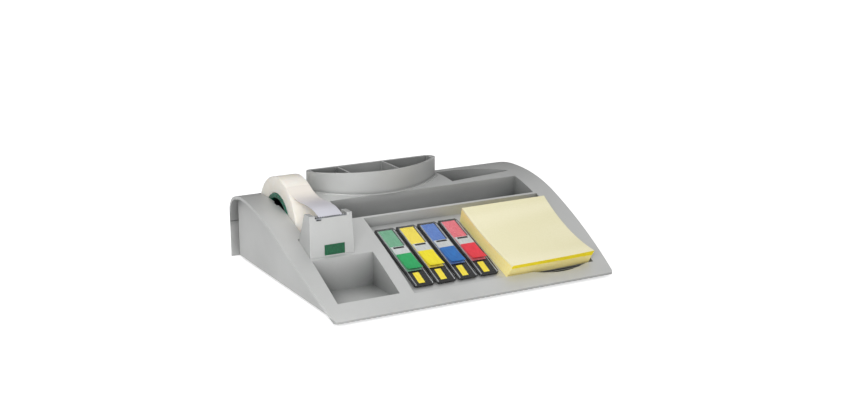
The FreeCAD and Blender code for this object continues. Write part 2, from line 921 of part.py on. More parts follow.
def cutter_nose():
    """Hollow block that carries the blade, with a tape channel between two cheeks."""
    run = along(size("nose_run"))
    length = size("nose_length")
    flat = size("nose_flat")
    wall = size("nose_wall")
    low = size("nose_seat") + size("rest_gap")
    top = size("nose_height")
    platform = size("nose_platform")
    tail = size("nose_tail_height")
    left = across(size("nose_left"))
    right = left + size("nose_width")
    flare = size("nose_flare")
    body = new_body("cutter_nose")
    sketch = new_sketch(body, "YZ_Plane", left)
    outline(sketch, [(run, low), (run + length, low), (run + length, tail),
                     (run + flat, top), (run, top)])
    pad(body, sketch, size("nose_width") + flare)
    sketch = new_sketch(body, "XZ_Plane", -run)
    outline(sketch, [(right + flare, low), (right + flare * 2, low),
                     (right + flare * 2, top + wall), (right, top + wall), (right, top)])
    pocket(body, sketch, length)
    sketch = new_sketch(body, "YZ_Plane", left + size("nose_cheek"))
    channel = size("nose_width") - size("nose_cheek") * 2
    outline(sketch, [(run - wall, platform), (run + flat, platform),
                     (run + length + wall, tail - wall),
                     (run + length + wall, full_height()), (run - wall, full_height())])
    pocket(body, sketch, channel, backwards=True)
    sketch = new_sketch(body, "YZ_Plane", left + wall)
    blade_depth = size("blade_height") - size("blade_stand")
    ceiling = platform - blade_depth - wall
    outline(sketch, [(run + wall, low - wall), (run + length - wall * 2, low - wall),
                     (run + flat, ceiling), (run + wall, ceiling)])
    pocket(body, sketch, size("nose_width") - wall * 2, backwards=True)
    sketch = new_sketch(body, "XY_Plane", platform)
    fit = size("blade_fit")
    centre = left + size("nose_width") / 2
    rectangle(sketch, centre - size("blade_length") / 2 - fit, run + size("blade_setback") - fit,
              size("blade_length") + fit * 2, size("blade_thickness") + fit * 2)
    pocket(body, sketch, blade_depth)
    return body


def cutter_blade():
    """Thin steel blade standing in the nose, with a row of teeth cut by a pattern."""
    body = new_body("cutter_blade")
    run = along(size("nose_run")) + size("blade_setback")
    centre = across(size("nose_left")) + size("nose_width") / 2
    half = size("blade_length") / 2
    top = size("nose_platform") + size("blade_stand")
    sketch = new_sketch(body, "XZ_Plane", -run)
    rectangle(sketch, centre - half, top - size("blade_height"), size("blade_length"),
              size("blade_height"))
    pad(body, sketch, size("blade_thickness"), backwards=True)
    reach = size("tooth_pitch") / 2 - size("tooth_land")
    depth = size("tooth_depth")
    first = centre - half
    sketch = new_sketch(body, "XZ_Plane", -run)
    outline(sketch, [(first, top - depth), (first + reach, top), (first + reach, top + depth),
                     (first - reach, top + depth), (first - reach, top)])
    notch = pocket(body, sketch, size("blade_thickness"))
    return repeat(body, notch, sketch, size("blade_length"),
                  size("blade_length") / size("tooth_pitch") + 1)


def nose_label():
    """Plain coloured label on the front of the nose."""
    thickness = size("label_thickness")
    return box("nose_label", across(size("label_left")), along(size("nose_run")) - thickness,
               size("label_bottom"), size("label_width"), thickness, size("label_height"))


def spool_place(body):
    return place(body, roll_centre(), along(size("spool_run")), spool_height())


def tape_spool():
    """Spool that fills the core: rim, web and two stub axles that drop into the grooves."""
    stub = well_width() / 2 + size("groove_depth") - size("axle_end_gap")
    axle = size("axle_radius")
    half = size("tape_width") / 2
    outer = size("core_radius") - size("core_wall") - size("core_fit")
    inner = outer - size("spool_rim")
    web = size("spool_web") / 2
    body = new_body("tape_spool")
    sketch = new_sketch(body, "XZ_Plane")
    outline(sketch, [(-stub, 0), (stub, 0), (stub, axle), (web, axle), (web, inner),
                     (half, inner), (half, outer), (-half, outer), (-half, inner),
                     (-web, inner), (-web, axle), (-stub, axle)])
    revolve(body, sketch)
    return spool_place(body)


def ring(label, outer, inner):
    """Tape-wide ring round the spool."""
    half = size("tape_width") / 2
    body = new_body(label)
    sketch = new_sketch(body, "XZ_Plane")
    rectangle(sketch, -half, inner, half * 2, outer - inner)
    revolve(body, sketch)
    return spool_place(body)


def tape_core():
    return ring("tape_core", size("core_radius"), size("core_radius") - size("core_wall"))


def tape_winding():
    return ring("tape_winding", size("roll_radius"), size("core_radius") + size("core_fit"))


def tape_strip():
    """Free stretch of tape from the roll, in one easy bend, to the blade."""
    leave = size("strip_leave")
    bend = size("strip_bend")
    thickness = size("strip_thickness")
    reach = size("roll_radius") + size("strip_gap")
    start_y = along(size("spool_run")) + reach * cosine(leave)
    start_z = spool_height() + reach * sine(leave)
    fall = leave - 90
    flat = size("strip_end_slope")
    knee_y = start_y - bend * (sine(fall) - sine(flat))
    knee_z = start_z - bend * (cosine(flat) - cosine(fall))
    end_y = along(size("nose_run")) + size("blade_setback") + size("blade_thickness") * 2
    end_z = size("nose_platform") + size("rest_gap")
    body = new_body("tape_strip")
    sketch = new_sketch(body, "YZ_Plane", roll_centre())
    outline(sketch, [(end_y, end_z), (knee_y, knee_z), (start_y, start_z),
                     (start_y, start_z + thickness), (knee_y, knee_z + thickness),
                     (end_y, end_z + thickness)],
            bulges={1: bend}, hollows={3: bend})
    pad(body, sketch, size("tape_width"), symmetric=True)
    return body


# ---------------------------------------------------------------- refills in the recess

def on_floor(body, left, run, rise):
    """Lay a body modelled flat onto the sloping floor, run and rise measured along it."""
    tilt = size("recess_tilt")
    y = along(size("recess_run")) + run * cosine(tilt) - rise * sine(tilt)
    z = size("recess_start") + run * sine(tilt) + rise * cosine(tilt)
    return place(body, left, y, z, tilt)


def unit_left(number):
    return across(size("unit_first")) + size("unit_pitch") * (number - 1)


def flag_base(number):
    """Black holder of one flag unit: shallow pocket behind a nose that slopes to the front."""
    width = size("unit_width")
    length = size("unit_length")
    height = size("unit_height")
    side = (width - size("flag_width")) / 2 - size("pack_gap")
    body = new_body(f"flag_base_{number}")
    sketch = new_sketch(body, "YZ_Plane")
    outline(sketch, [(0, 0), (length, 0), (length, height),
                     (size("unit_nose_length"), height), (0, size("unit_nose_height"))])
    pad(body, sketch, width)
    sketch = new_sketch(body, "XY_Plane", height)
    back = length - size("unit_corner")
    start = back - size("pack_length") - size("pack_gap") * 2
    rectangle(sketch, side, start, width - side * 2, back - start)
    pocket(body, sketch, height - size("unit_floor"))
    round_edges(body, size("unit_corner"), lambda edge: is_upright(edge)
                and edge.CenterOfMass.y < size("unit_corner").value)
    return on_floor(body, unit_left(number), size("unit_run"), size("rest_gap"))


def flag_pack(number):
    """Folded stack of flags in the holder."""
    body = new_body(f"flag_pack_{number}")
    sketch = new_sketch(body, "XY_Plane")
    rectangle(sketch, as_size(0), as_size(0), size("flag_width"), size("pack_length"))
    pad(body, sketch, size("pack_thickness"))
    side = (size("unit_width") - size("flag_width")) / 2
    back = size("unit_length") - size("unit_corner") - size("pack_gap") - size("pack_length")
    return on_floor(body, unit_left(number) + side, size("unit_run") + back,
                    size("rest_gap") * 2 + size("unit_floor"))


def flag_cover(number):
    """Clear cover of one unit with the slot that the lead flag comes out of."""
    side = size("cover_side")
    width = size("unit_width") - side * 2
    body = new_body(f"flag_cover_{number}")
    sketch = new_sketch(body, "XY_Plane")
    rectangle(sketch, as_size(0), as_size(0), width, size("cover_length"))
    pad(body, sketch, size("cover_thickness"))
    round_edges(body, size("unit_corner"), is_upright)
    sketch = new_sketch(body, "XY_Plane", size("cover_thickness"))
    gap = (width - size("flag_width")) / 2 - size("pack_gap")
    rectangle(sketch, gap, size("cover_slot_run"), width - gap * 2, size("cover_slot_width"))
    pocket(body, sketch, size("cover_thickness"))
    back = size("unit_length") - size("cover_length") - side
    return on_floor(body, unit_left(number) + side, size("unit_run") + back,
                    size("rest_gap") + size("unit_height"))


def flag_lead(number):
    """Foremost flag, pulled through the slot and lying on the cover."""
    body = new_body(f"flag_lead_{number}")
    sketch = new_sketch(body, "XY_Plane")
    rectangle(sketch, as_size(0), as_size(0), size("flag_width"), size("lead_length"))
    pad(body, sketch, size("lead_thickness"))
    side = (size("unit_width") - size("flag_width")) / 2
    slot = size("unit_length") - size("cover_length") - size("cover_side") + size("cover_slot_run")
    return on_floor(body, unit_left(number) + side, size("unit_run") + slot - size("lead_length")
                    + size("cover_slot_width") / 2,
                    size("rest_gap") * 2 + size("unit_height") + size("cover_thickness"))


def sagging_slab(label, height, rise):
    """Square of paper, dished from front to back, whose top climbs to its glued rear edge."""
    length = size("pad_length")
    climb = size("pad_back_rise")
    sag = size("pad_sag_radius")
    body = new_body(label)
    sketch = new_sketch(body, "YZ_Plane")
    outline(sketch, [(0, 0), (length, climb if rise else 0), (length, height + climb),
                     (0, height)], bulges={0: sag} if rise else {}, hollows={2: sag})
    pad(body, sketch, size("pad_width"))
    return on_floor(body, across(size("pad_left")), size("pad_run"),
                    size("rest_gap") + (rise if rise else 0))


def note_pad():
    return sagging_slab("note_pad", size("pad_height"), None)


def note_top_sheets():
    return sagging_slab("note_top_sheets", size("sheets_thickness"),
                        size("pad_height") + size("rest_gap"))


# ---------------------------------------------------------------- build, check and write

def build():
    parts = [top_shell(), pen_cup(), base_plate(), rubber_feet(), base_screws(), drawer(),
             cutter_nose(), cutter_blade(), nose_label(),
             tape_spool(), tape_core(), tape_winding(), tape_strip()]
    for number in range(1, 5):
        parts += [flag_base(number), flag_pack(number), flag_cover(number), flag_lead(number)]
    parts += [note_pad(), note_top_sheets()]
    doc.recompute()
    return parts


def check(parts):
    for thing in doc.Objects:
        if "Invalid" in thing.State or "Error" in thing.State:
            raise RuntimeError(f"{thing.Label} failed: {thing.State}")
    for thing in parts:
        if thing.Shape.isNull() or not thing.Shape.isValid():
            raise RuntimeError(f"{thing.Label} has no valid shape")


def write(parts):
    os.makedirs("parts", exist_ok=True)
    for thing in parts:
        thing.Shape.exportStep(f"parts/{thing.Label}.step")


pieces = build()
check(pieces)
write(pieces)
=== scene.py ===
import math
import bpy
from mathutils import Matrix, Vector


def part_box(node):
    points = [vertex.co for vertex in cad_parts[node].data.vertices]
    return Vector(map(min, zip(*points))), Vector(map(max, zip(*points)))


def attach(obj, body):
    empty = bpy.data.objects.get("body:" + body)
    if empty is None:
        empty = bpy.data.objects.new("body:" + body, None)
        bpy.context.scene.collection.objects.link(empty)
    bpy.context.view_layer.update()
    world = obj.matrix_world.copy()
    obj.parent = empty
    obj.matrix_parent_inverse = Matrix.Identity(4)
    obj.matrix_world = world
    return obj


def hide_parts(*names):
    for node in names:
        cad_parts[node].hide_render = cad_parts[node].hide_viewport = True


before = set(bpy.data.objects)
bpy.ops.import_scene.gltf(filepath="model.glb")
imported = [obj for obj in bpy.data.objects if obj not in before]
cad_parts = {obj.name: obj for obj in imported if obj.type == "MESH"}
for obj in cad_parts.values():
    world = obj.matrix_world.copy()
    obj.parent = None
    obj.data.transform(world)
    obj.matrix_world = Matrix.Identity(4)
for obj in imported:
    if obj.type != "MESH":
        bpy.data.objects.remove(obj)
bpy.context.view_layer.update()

# ------------------------------------------------------------------ bottom plate
# The bottom plate closes the case from below and carries the two rails of the drawer.
# It is moulded in impact polystyrene, duller and darker than the deck, because nobody
# sees it in use. Four screws hold it.
plate_edge = 0.0003


def linear(code):
    """Linear colour, with full alpha, of an sRGB hex value."""
    parts = [int(code[i:i + 2], 16) / 255 for i in (1, 3, 5)]
    return [p / 12.92 if p <= 0.04045 else ((p + 0.055) / 1.055) ** 2.4 for p in parts] + [1.0]


def add(look, kind, feeds, **settings):
    """Add one node to a material; each feed is a number, a colour or the socket that drives it."""
    tree = look.node_tree
    node = tree.nodes.new(kind)
    for key, value in settings.items():
        setattr(node, key, value)
    for key, value in feeds.items():
        if isinstance(value, bpy.types.NodeSocket):
            tree.links.new(value, node.inputs[key])
        else:
            node.inputs[key].default_value = value
    return node


def new_look(name, code, **sockets):
    """A material with its shader, and the object's own coordinates to draw patterns on."""
    look = bpy.data.materials.new(name)
    look.use_nodes = True
    shader = look.node_tree.nodes["Principled BSDF"]
    shader.inputs["Base Color"].default_value = linear(code)
    for key, value in sockets.items():
        shader.inputs[key.replace("_", " ")].default_value = value
    spot = add(look, "ShaderNodeTexCoord", {}).outputs["Object"]
    return look, shader, spot


def feed(look, socket, shader, key):
    """Drive one input of the shader."""
    look.node_tree.links.new(socket, shader.inputs[key])


def tones(look, value, *stops):
    """Colour that runs through (place, hex) stops."""
    node = add(look, "ShaderNodeValToRGB", {"Fac": value})
    bar = node.color_ramp
    while len(bar.elements) < len(stops):
        bar.elements.new(0.5)
    for element, (place, code) in zip(bar.elements, stops):
        element.position = place
        element.color = linear(code)
    return node.outputs["Color"]


def raise_surface(look, shader, height, strength, depth):
    """Relief in the shading: a height pattern, its strength and how deep it would be."""
    bump = add(look, "ShaderNodeBump", {"Height": height, "Strength": strength,
                                        "Distance": depth})
    feed(look, bump.outputs["Normal"], shader, "Normal")


def grained_plastic(name, low, high, grain, depth, painted_pocket_shade=None, painted_shade_reach=0.032,
                    **sockets):
    """Moulded plastic with a fine spark-eroded grain and a slow drift of tone.

    The grain keeps the flats satin while the edges catch the light. The real grain is
    finer than the picture can hold, so it is drawn about three times as coarse. With a
    pocket shade tone, surfaces that the moulding shuts in are painted darker by ambient
    occlusion: painted shade, standing in for the shade that falls there.
    """
    look, shader, spot = new_look(name, high, **sockets)
    drift = add(look, "ShaderNodeTexNoise", {"Vector": spot, "Scale": 1 / 0.045, "Detail": 3.0})
    speck = add(look, "ShaderNodeTexNoise", {"Vector": spot, "Scale": 1 / grain, "Detail": 2.0})
    tone = add(look, "ShaderNodeMath", {0: speck.outputs["Fac"], 1: 0.35,
                                        2: drift.outputs["Fac"]}, operation="MULTIPLY_ADD")
    colour = tones(look, tone.outputs[0], (0.48, low), (0.88, high))
    # Painted shade: where ambient occlusion finds the moulding shut in, the colour is multiplied
    # darker.
    if painted_pocket_shade:
        shut_in = add(look, "ShaderNodeAmbientOcclusion", {"Distance": painted_shade_reach},
                      samples=12, only_local=True)
        shade = tones(look, shut_in.outputs["AO"], (0.15, painted_pocket_shade), (0.30, "#A6A7A7"),
                      (0.48, "#CACBCB"), (0.74, "#E9E9E9"), (0.92, "#FFFFFF"))
        colour = add(look, "ShaderNodeMix", {6: colour, 7: shade, 0: 1.0}, data_type="RGBA",
                     blend_type="MULTIPLY").outputs[2]
    feed(look, colour, shader, "Base Color")
    gloss = add(look, "ShaderNodeMapRange", {
        "Value": speck.outputs["Fac"], "From Min": 0.3, "From Max": 0.7,
        "To Min": sockets["Roughness"] - 0.05, "To Max": sockets["Roughness"] + 0.07})
    feed(look, gloss.outputs["Result"], shader, "Roughness")
    raise_surface(look, shader, speck.outputs["Fac"], 0.4, depth)
    return look


def alone(piece):
    """Select one object and nothing else."""
    bpy.ops.object.select_all(action="DESELECT")
    piece.select_set(True)
    bpy.context.view_layer.objects.active = piece


def change(piece, kind, **settings):
    """Add a modifier and apply it."""
    alone(piece)
    modifier = piece.modifiers.new(kind.lower(), kind)
    for key, value in settings.items():
        setattr(modifier, key, value)
    bpy.ops.object.modifier_apply(modifier=modifier.name)


def round_off(piece, edge, steps=2, rim=False):
    """Round every edge of 30 degrees or more; with rim, the roundings take the second look, which
    paints a highlight on them.
    """
    if rim:
        piece.data.materials.clear()
        piece.data.materials.append(None)
        piece.data.materials.append(None)
    change(piece, "BEVEL", width=edge, segments=steps, limit_method="ANGLE",
           angle_limit=math.radians(30), material=1 if rim else -1)
    bpy.ops.object.shade_smooth_by_angle(angle=math.radians(35))
    change(piece, "WEIGHTED_NORMAL", weight=80, keep_sharp=True)


def finish(piece, name, look, body, slot, *replaced, rim=None):
    """Name and dress a piece, put its place into its mesh, and hang it on its body."""
    piece.name = name
    piece.data.name = name
    if rim:
        piece.data.materials[0] = look
        piece.data.materials[1] = rim
    else:
        piece.data.materials.clear()
        piece.data.materials.append(look)
    alone(piece)
    bpy.ops.object.transform_apply(location=True, rotation=True, scale=True)
    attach(piece, body)
    if replaced:
        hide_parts(*replaced)


def merged_copy(node):
    """Copy of a CAD node with its triangles merged into whole faces."""
    piece = bpy.data.objects.new(node + "_copy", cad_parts[node].data.copy())
    bpy.context.scene.collection.objects.link(piece)
    alone(piece)
    bpy.ops.object.mode_set(mode="EDIT")
    bpy.ops.mesh.select_all(action="SELECT")
    bpy.ops.mesh.remove_doubles(threshold=2e-6)
    bpy.ops.mesh.dissolve_limited(angle_limit=math.radians(0.3))
    bpy.ops.object.mode_set(mode="OBJECT")
    return piece


# Impact polystyrene off a coarse mould face: dull, so that the underside stays quiet.
plate_plastic = grained_plastic("moulded_impact_polystyrene", "#55575A", "#66686B",
                                0.0012, 0.00005, Roughness=0.62)
plate = merged_copy("base_plate")
round_off(plate, plate_edge)
finish(plate, "bottom_plate", plate_plastic, "case", "base_grey", "base_plate")

# ------------------------------------------------------------------ rubber feet
# Four black rubber pads, moulded with a shallow dish and pressed into seats in the plate.
# They keep the case off the desk and stop it from sliding when tape is pulled.
foot_radius = 0.006
foot_height = 0.0036
foot_edge = 0.0004
dish_border = 0.0016
dish_depth = 0.0006
foot_places = [(x, y) for x in (-0.1058, 0.1058) for y in (-0.0825, 0.0755)]

# Moulded rubber: nearly no gloss, and a bloom of pale dust that keeps it from looking like ink.
foot_rubber, foot_shader, foot_spot = new_look("moulded_black_rubber", "#1B1B1C", Roughness=0.85)
foot_dust = add(foot_rubber, "ShaderNodeTexNoise", {"Vector": foot_spot, "Scale": 1 / 0.0014,
                                                    "Detail": 4.0})
feed(foot_rubber, tones(foot_rubber, foot_dust.outputs["Fac"], (0.40, "#161617"),
                        (0.72, "#2E2D2C")), foot_shader, "Base Color")
raise_surface(foot_rubber, foot_shader, foot_dust.outputs["Fac"], 0.3, 0.0001)


def pick_faces(test):
    """In edit mode, select the faces whose centre and normal pass the test."""
    bpy.ops.mesh.select_all(action="DESELECT")
    bpy.ops.mesh.select_mode(type="FACE")
    bpy.ops.object.mode_set(mode="OBJECT")
    for face in bpy.context.object.data.polygons:
        face.select = bool(test(face.center, face.normal))
    bpy.ops.object.mode_set(mode="EDIT")


def new_disc(radius, low, high, sides=48):
    """Upright cylinder on the origin between two heights."""
    bpy.ops.object.select_all(action="DESELECT")
    bpy.ops.mesh.primitive_cylinder_add(vertices=sides, radius=radius, depth=high - low,
                                        location=(0, 0, (low + high) / 2))
    return bpy.context.object


def copy_of(piece, shift):
    """A copy with its own mesh, moved by shift."""
    twin = piece.copy()
    twin.data = piece.data.copy()
    bpy.context.scene.collection.objects.link(twin)
    twin.location = Vector(piece.location) + Vector(shift)
    return twin


foot = new_disc(foot_radius, 0.0, foot_height)
bpy.ops.object.mode_set(mode="EDIT")
pick_faces(lambda centre, normal: normal.z < -0.9)
bpy.ops.mesh.inset(thickness=dish_border)
bpy.ops.transform.translate(value=(0, 0, dish_depth))
bpy.ops.object.mode_set(mode="OBJECT")
round_off(foot, foot_edge, steps=3)
feet = [copy_of(foot, (x, y, 0)) for x, y in foot_places]
bpy.data.objects.remove(foot)
for number, foot in enumerate(feet, 1):
    finish(foot, f"foot_{number}", foot_rubber, "case", "foot_rubber", "rubber_feet")

# ------------------------------------------------------------------ base screws
# Four pan-head self-tapping screws, zinc plated, driven up through the plate into the
# bosses of the deck. Only their heads with the cross recess show, under the plate.
head_radius = 0.0028
head_height = 0.0010
head_low = 0.0020
head_edge = 0.00055
shank_radius = 0.0015
shank_top = 0.0120
shank_tip = 0.35            # share of the radius left at its top
recess_reach = 0.0015
recess_width = 0.0006
screw_places = [(x, y) for x in (-0.0578, 0.1010) for y in (-0.0645, -0.0145)]

# Zinc plate over steel: a clean metal tinted slightly cold, with fine scratches in its gloss.
zinc, zinc_shader, zinc_spot = new_look("zinc_plated_steel", "#B4B7BA", Metallic=1.0,
                                        Roughness=0.32)
zinc_wear = add(zinc, "ShaderNodeTexNoise", {"Vector": zinc_spot, "Scale": 1 / 0.0005,
                                             "Detail": 5.0})
feed(zinc, add(zinc, "ShaderNodeMapRange", {"Value": zinc_wear.outputs["Fac"], "To Min": 0.22,
                                            "To Max": 0.45}).outputs["Result"],
     zinc_shader, "Roughness")
feed(zinc, tones(zinc, zinc_wear.outputs["Fac"], (0.35, "#A4A7AB"), (0.7, "#C6C9CC")),
     zinc_shader, "Base Color")

screw = new_disc(head_radius, head_low, head_low + head_height)
change(screw, "BEVEL", width=head_edge, segments=4, limit_method="ANGLE",
       angle_limit=math.radians(60))
for turn in (0, 90):
    bpy.ops.object.select_all(action="DESELECT")
    bpy.ops.mesh.primitive_cube_add(size=1, location=(0, 0, head_low),
                                    rotation=(0, 0, math.radians(turn)))
    driver = bpy.context.object
    driver.scale = (recess_reach * 2, recess_width, head_height * 1.2)
    change(screw, "BOOLEAN", object=driver, operation="DIFFERENCE", solver="EXACT")
    bpy.data.objects.remove(driver)
new_disc(shank_radius, head_low + head_height, shank_top, sides=24)
bpy.ops.object.mode_set(mode="EDIT")
pick_faces(lambda centre, normal: normal.z > 0.9)
bpy.ops.transform.resize(value=(shank_tip, shank_tip, 1))
bpy.ops.object.mode_set(mode="OBJECT")
screw.select_set(True)
bpy.context.view_layer.objects.active = screw
bpy.ops.object.join()
bpy.ops.object.shade_smooth_by_angle(angle=math.radians(35))
screws = [copy_of(screw, (x, y, 0)) for x, y in screw_places]
bpy.data.objects.remove(screw)
for number, screw in enumerate(screws, 1):
    finish(screw, f"screw_{number}", zinc, "case", "screw_steel", "base_screws")

# ------------------------------------------------------------------ deck
# One big moulding: the curved deck with its pockets, the two side walls and the rear band.
# Silver-grey ABS with a metallic pigment, on a finely spark-eroded mould face. The pigment
# makes the flats change tone with the light. Its pockets carry painted shade, and its rounded
# rims draw a bright line, partly from a painted highlight.
silver_abs = grained_plastic("moulded_silver_abs_painted_shade", "#C6C7C6", "#CECFCE", 0.0010, 0.00003,
                             painted_pocket_shade="#464747", Roughness=0.45, Metallic=0.5)
# The same ABS on the rounded rims: the mould is polished there, so they are glossier; their
# near-white colour is a painted highlight.
rim_highlight_abs = grained_plastic("silver_abs_rim_painted_highlight", "#F6F7F6", "#FFFFFF", 0.0010, 0.00001,
                          Roughness=0.25, Metallic=0.1)
# And on the lower edge, where the mould halves part: rougher, and painted darker as a shade along
# the bottom.
edge_shade_abs = grained_plastic("silver_abs_edge_painted_shade", "#A4A5A4", "#B0B1B0", 0.0010, 0.00003,
                           Roughness=0.55, Metallic=0.4)
floor_tilt = math.radians(21)
floor_origin = Vector((0, -0.0885, 0.0096))
rib_tail_half = 0.0310
rib_tail_front = 0.0802
rib_tail_back = 0.08887
rib_tail_low = 0.00004
rib_tail_high = 0.0040
deck_edge = 0.0010
lip_top = 0.0075            # the foot of the walls ends here
split_height = 0.0315       # where the band ends over the drawer's panel
split_reach = 0.0012
crisp = 0.2                 # share of a rounding's height that stays
hood_start = 0.0935         # behind this the band rolls down to the split
end_face = 0.1315           # beyond this lie the band's end faces


def lay_on_floor(piece, x, run, rise):
    """Move a piece modelled flat onto the sloping floor of the deck's recess."""
    piece.matrix_world = (Matrix.Translation(floor_origin + Vector((x, 0, 0)))
                          @ Matrix.Rotation(floor_tilt, 4, "X")
                          @ Matrix.Translation((0, run, rise)) @ piece.matrix_world)


def new_slab(low, high):
    """Block between two corners."""
    bpy.ops.object.select_all(action="DESELECT")
    bpy.ops.mesh.primitive_cube_add(size=1, location=(Vector(low) + Vector(high)) / 2)
    slab = bpy.context.object
    slab.scale = Vector(high) - Vector(low)
    bpy.ops.object.transform_apply(location=True, scale=True)
    return slab


# The low ribs between the flag units end with the units: a cutter takes off the tails that
# would run on to the recess's back wall. Its own back face stands upright.
deck = merged_copy("top_shell")
tail = new_slab((-rib_tail_half, rib_tail_front, rib_tail_low),
                (rib_tail_half, rib_tail_back, rib_tail_high))
for vertex in tail.data.vertices:
    if vertex.co.y > (rib_tail_front + rib_tail_back) / 2:
        vertex.co.y += vertex.co.z * math.tan(floor_tilt)
lay_on_floor(tail, 0, 0, 0)
change(deck, "BOOLEAN", object=tail, operation="DIFFERENCE", solver="EXACT")
bpy.data.objects.remove(tail)
round_off(deck, deck_edge, rim=True)
finish(deck, "deck", silver_abs, "case", "deck_grey", "top_shell", rim=rim_highlight_abs)
deck.data.materials.append(edge_shade_abs)

# The foot of the walls takes the edge look, a painted shade. The band's edge over the drawer is
# crisp: its rounding is squeezed, has no painted highlight and keeps the body look with its
# painted pocket shade. The band's end faces take the rims' painted highlight.
for vertex in deck.data.vertices:
    if vertex.co.y > hood_start and 0 < vertex.co.z - split_height < split_reach:
        vertex.co.z = split_height + (vertex.co.z - split_height) * crisp
for face in deck.data.polygons:
    if face.center.z < lip_top and face.normal.z < 0.3:
        face.material_index = 2
    if face.center.y > hood_start:
        if abs(face.center.z - split_height) < split_reach * crisp:
            face.material_index = 0
        elif abs(face.center.x) > end_face:
            face.material_index = 1

# ------------------------------------------------------------------ drawer
# A shallow tray behind a curved full-width panel, moulded in one piece in the deck's ABS.
# It slides out to the rear on the plate's rails; a scoop in the panel's edge takes fingers.
tray_edge = 0.0005
panel_rise = -0.0002
panel_top_face = 0.0003
panel_top_edge = 0.0006
tongue_inset = 0.0007
tongue_height = 0.0004

# The panel's top is taken down a little, so that the split under the band stays open.
tray = merged_copy("drawer")
tray_top = max(vertex.co.z for vertex in tray.data.vertices)
for vertex in tray.data.vertices:
    if vertex.co.z > tray_top - panel_top_face:
        vertex.co.z += panel_rise
# The tray's roundings take the rims' painted highlight.
round_off(tray, tray_edge, rim=True)
finish(tray, "drawer_tray", silver_abs, "drawer", "drawer_grey", "drawer", rim=rim_highlight_abs)

# The panel's top edge is crisp like the band's above it. A low tongue along its middle closes the
# line of sight through the split, and its faces there take the body look, whose painted pocket
# shade darkens them, so that the split reads as a dark line.
tray_top += panel_rise
for vertex in tray.data.vertices:
    if vertex.co.z > tray_top - panel_top_edge:
        vertex.co.z = tray_top - (tray_top - vertex.co.z) * crisp
alone(tray)
bpy.ops.object.mode_set(mode="EDIT")
pick_faces(lambda centre, normal: normal.z > 0.7 and centre.z > tray_top - panel_top_face)
bpy.ops.mesh.inset(thickness=tongue_inset)
bpy.ops.mesh.extrude_region_move(TRANSFORM_OT_translate={"value": (0, 0, tongue_height)})
bpy.ops.object.mode_set(mode="OBJECT")
for face in tray.data.polygons:
    if face.center.z > tray_top - panel_top_edge:
        face.material_index = 0

# ------------------------------------------------------------------ pen cup
# A half-moon cup with two dividers, moulded apart in the same ABS and dropped through the
# hole in the deck; its low flange follows the deck and hides the joint.
cup_edge = 0.0005
cup_low = 0.045             # the flange lies higher than this
wall_least = 0.001
slot_edge = 0.0261          # rear edge of the letter slot
cove_radius = 0.0021
cove_least = 0.1            # shares of the radius
cove_margin = 0.05

# A cove runs along the foot of the wall, on the edges where the flange's top meets it. It
# narrows towards the slot's edge, where the flange does.
cup = merged_copy("pen_cup")
flat_edges = {key for face in cup.data.polygons if face.normal.z > 0.5
              for key in face.edge_keys}
wall_edges = {key: face.center.z for face in cup.data.polygons if abs(face.normal.z) < 0.2
              for key in face.edge_keys}
cove_share = cup.data.attributes.new("bevel_weight_edge", "FLOAT", "EDGE")
for edge in cup.data.edges:
    ends = [cup.data.vertices[corner].co for corner in edge.vertices]
    level = min(end.z for end in ends)
    ledge = (ends[0].y + ends[1].y) / 2 - slot_edge
    if (edge.key in flat_edges and level > cup_low
            and wall_edges.get(edge.key, 0) > level + wall_least):
        cove_share.data[edge.index].value = min(1.0, max(cove_least,
                                                         ledge / cove_radius - cove_margin))
change(cup, "BEVEL", width=cove_radius, segments=6, limit_method="WEIGHT")
# The cup's roundings take the rims' painted highlight.
round_off(cup, cup_edge, rim=True)
finish(cup, "pen_cup_moulding", silver_abs, "case", "cup_grey", "pen_cup", rim=rim_highlight_abs)

# ------------------------------------------------------------------ cutter nose
# Hollow block in the deck's ABS, dropped into its seat. Two cheeks guide the tape over a low
# platform, and the blade stands in a slot in front of it.
nose_edge = 0.0009
nose = merged_copy("cutter_nose")
# The nose's roundings take the rims' painted highlight.
round_off(nose, nose_edge, rim=True)
finish(nose, "cutter_nose_moulding", silver_abs, "case", "nose_grey", "cutter_nose",
       rim=rim_highlight_abs)

# ------------------------------------------------------------------ blade
# Toothed strip of spring steel, pushed into the slot of the nose. A folded lug at its left
# end locks it over the edge.
lug_left = -0.1102
lug_front = -0.0419
lug_low = 0.0641
lug_width = 0.0042
lug_height = 0.0026
lug_depth = 0.0006
lug_frame = 0.0007
lug_sink = 0.6              # share of its depth
lug_edge = 0.00015

# Blanked spring steel: bright and directional, because the strip is rolled along its length.
steel, steel_shader, steel_spot = new_look("rolled_spring_steel", "#8C8F93", Metallic=1.0,
                                           Roughness=0.22)
steel_lines = add(steel, "ShaderNodeMapping", {"Vector": steel_spot, "Scale": (1, 12, 12)})
steel_wear = add(steel, "ShaderNodeTexNoise", {"Vector": steel_lines.outputs["Vector"],
                                               "Scale": 1 / 0.004, "Detail": 3.0})
feed(steel, add(steel, "ShaderNodeMapRange", {"Value": steel_wear.outputs["Fac"],
                                              "To Min": 0.14, "To Max": 0.36}).outputs["Result"],
     steel_shader, "Roughness")
blade = merged_copy("cutter_blade")
finish(blade, "blade_strip", steel, "case", "blade_steel", "cutter_blade")

bpy.ops.object.select_all(action="DESELECT")
bpy.ops.mesh.primitive_cube_add(size=1, location=(lug_left + lug_width / 2, lug_front,
                                                  lug_low + lug_height / 2))
lug = bpy.context.object
lug.scale = (lug_width, lug_depth, lug_height)
bpy.ops.object.transform_apply(location=False, scale=True)
bpy.ops.object.mode_set(mode="EDIT")
pick_faces(lambda centre, normal: normal.y < -0.9)
bpy.ops.mesh.inset(thickness=lug_frame)
bpy.ops.transform.translate(value=(0, lug_depth * lug_sink, 0))
bpy.ops.object.mode_set(mode="OBJECT")
round_off(lug, lug_edge)
finish(lug, "blade_lug", steel, "case", "blade_steel")

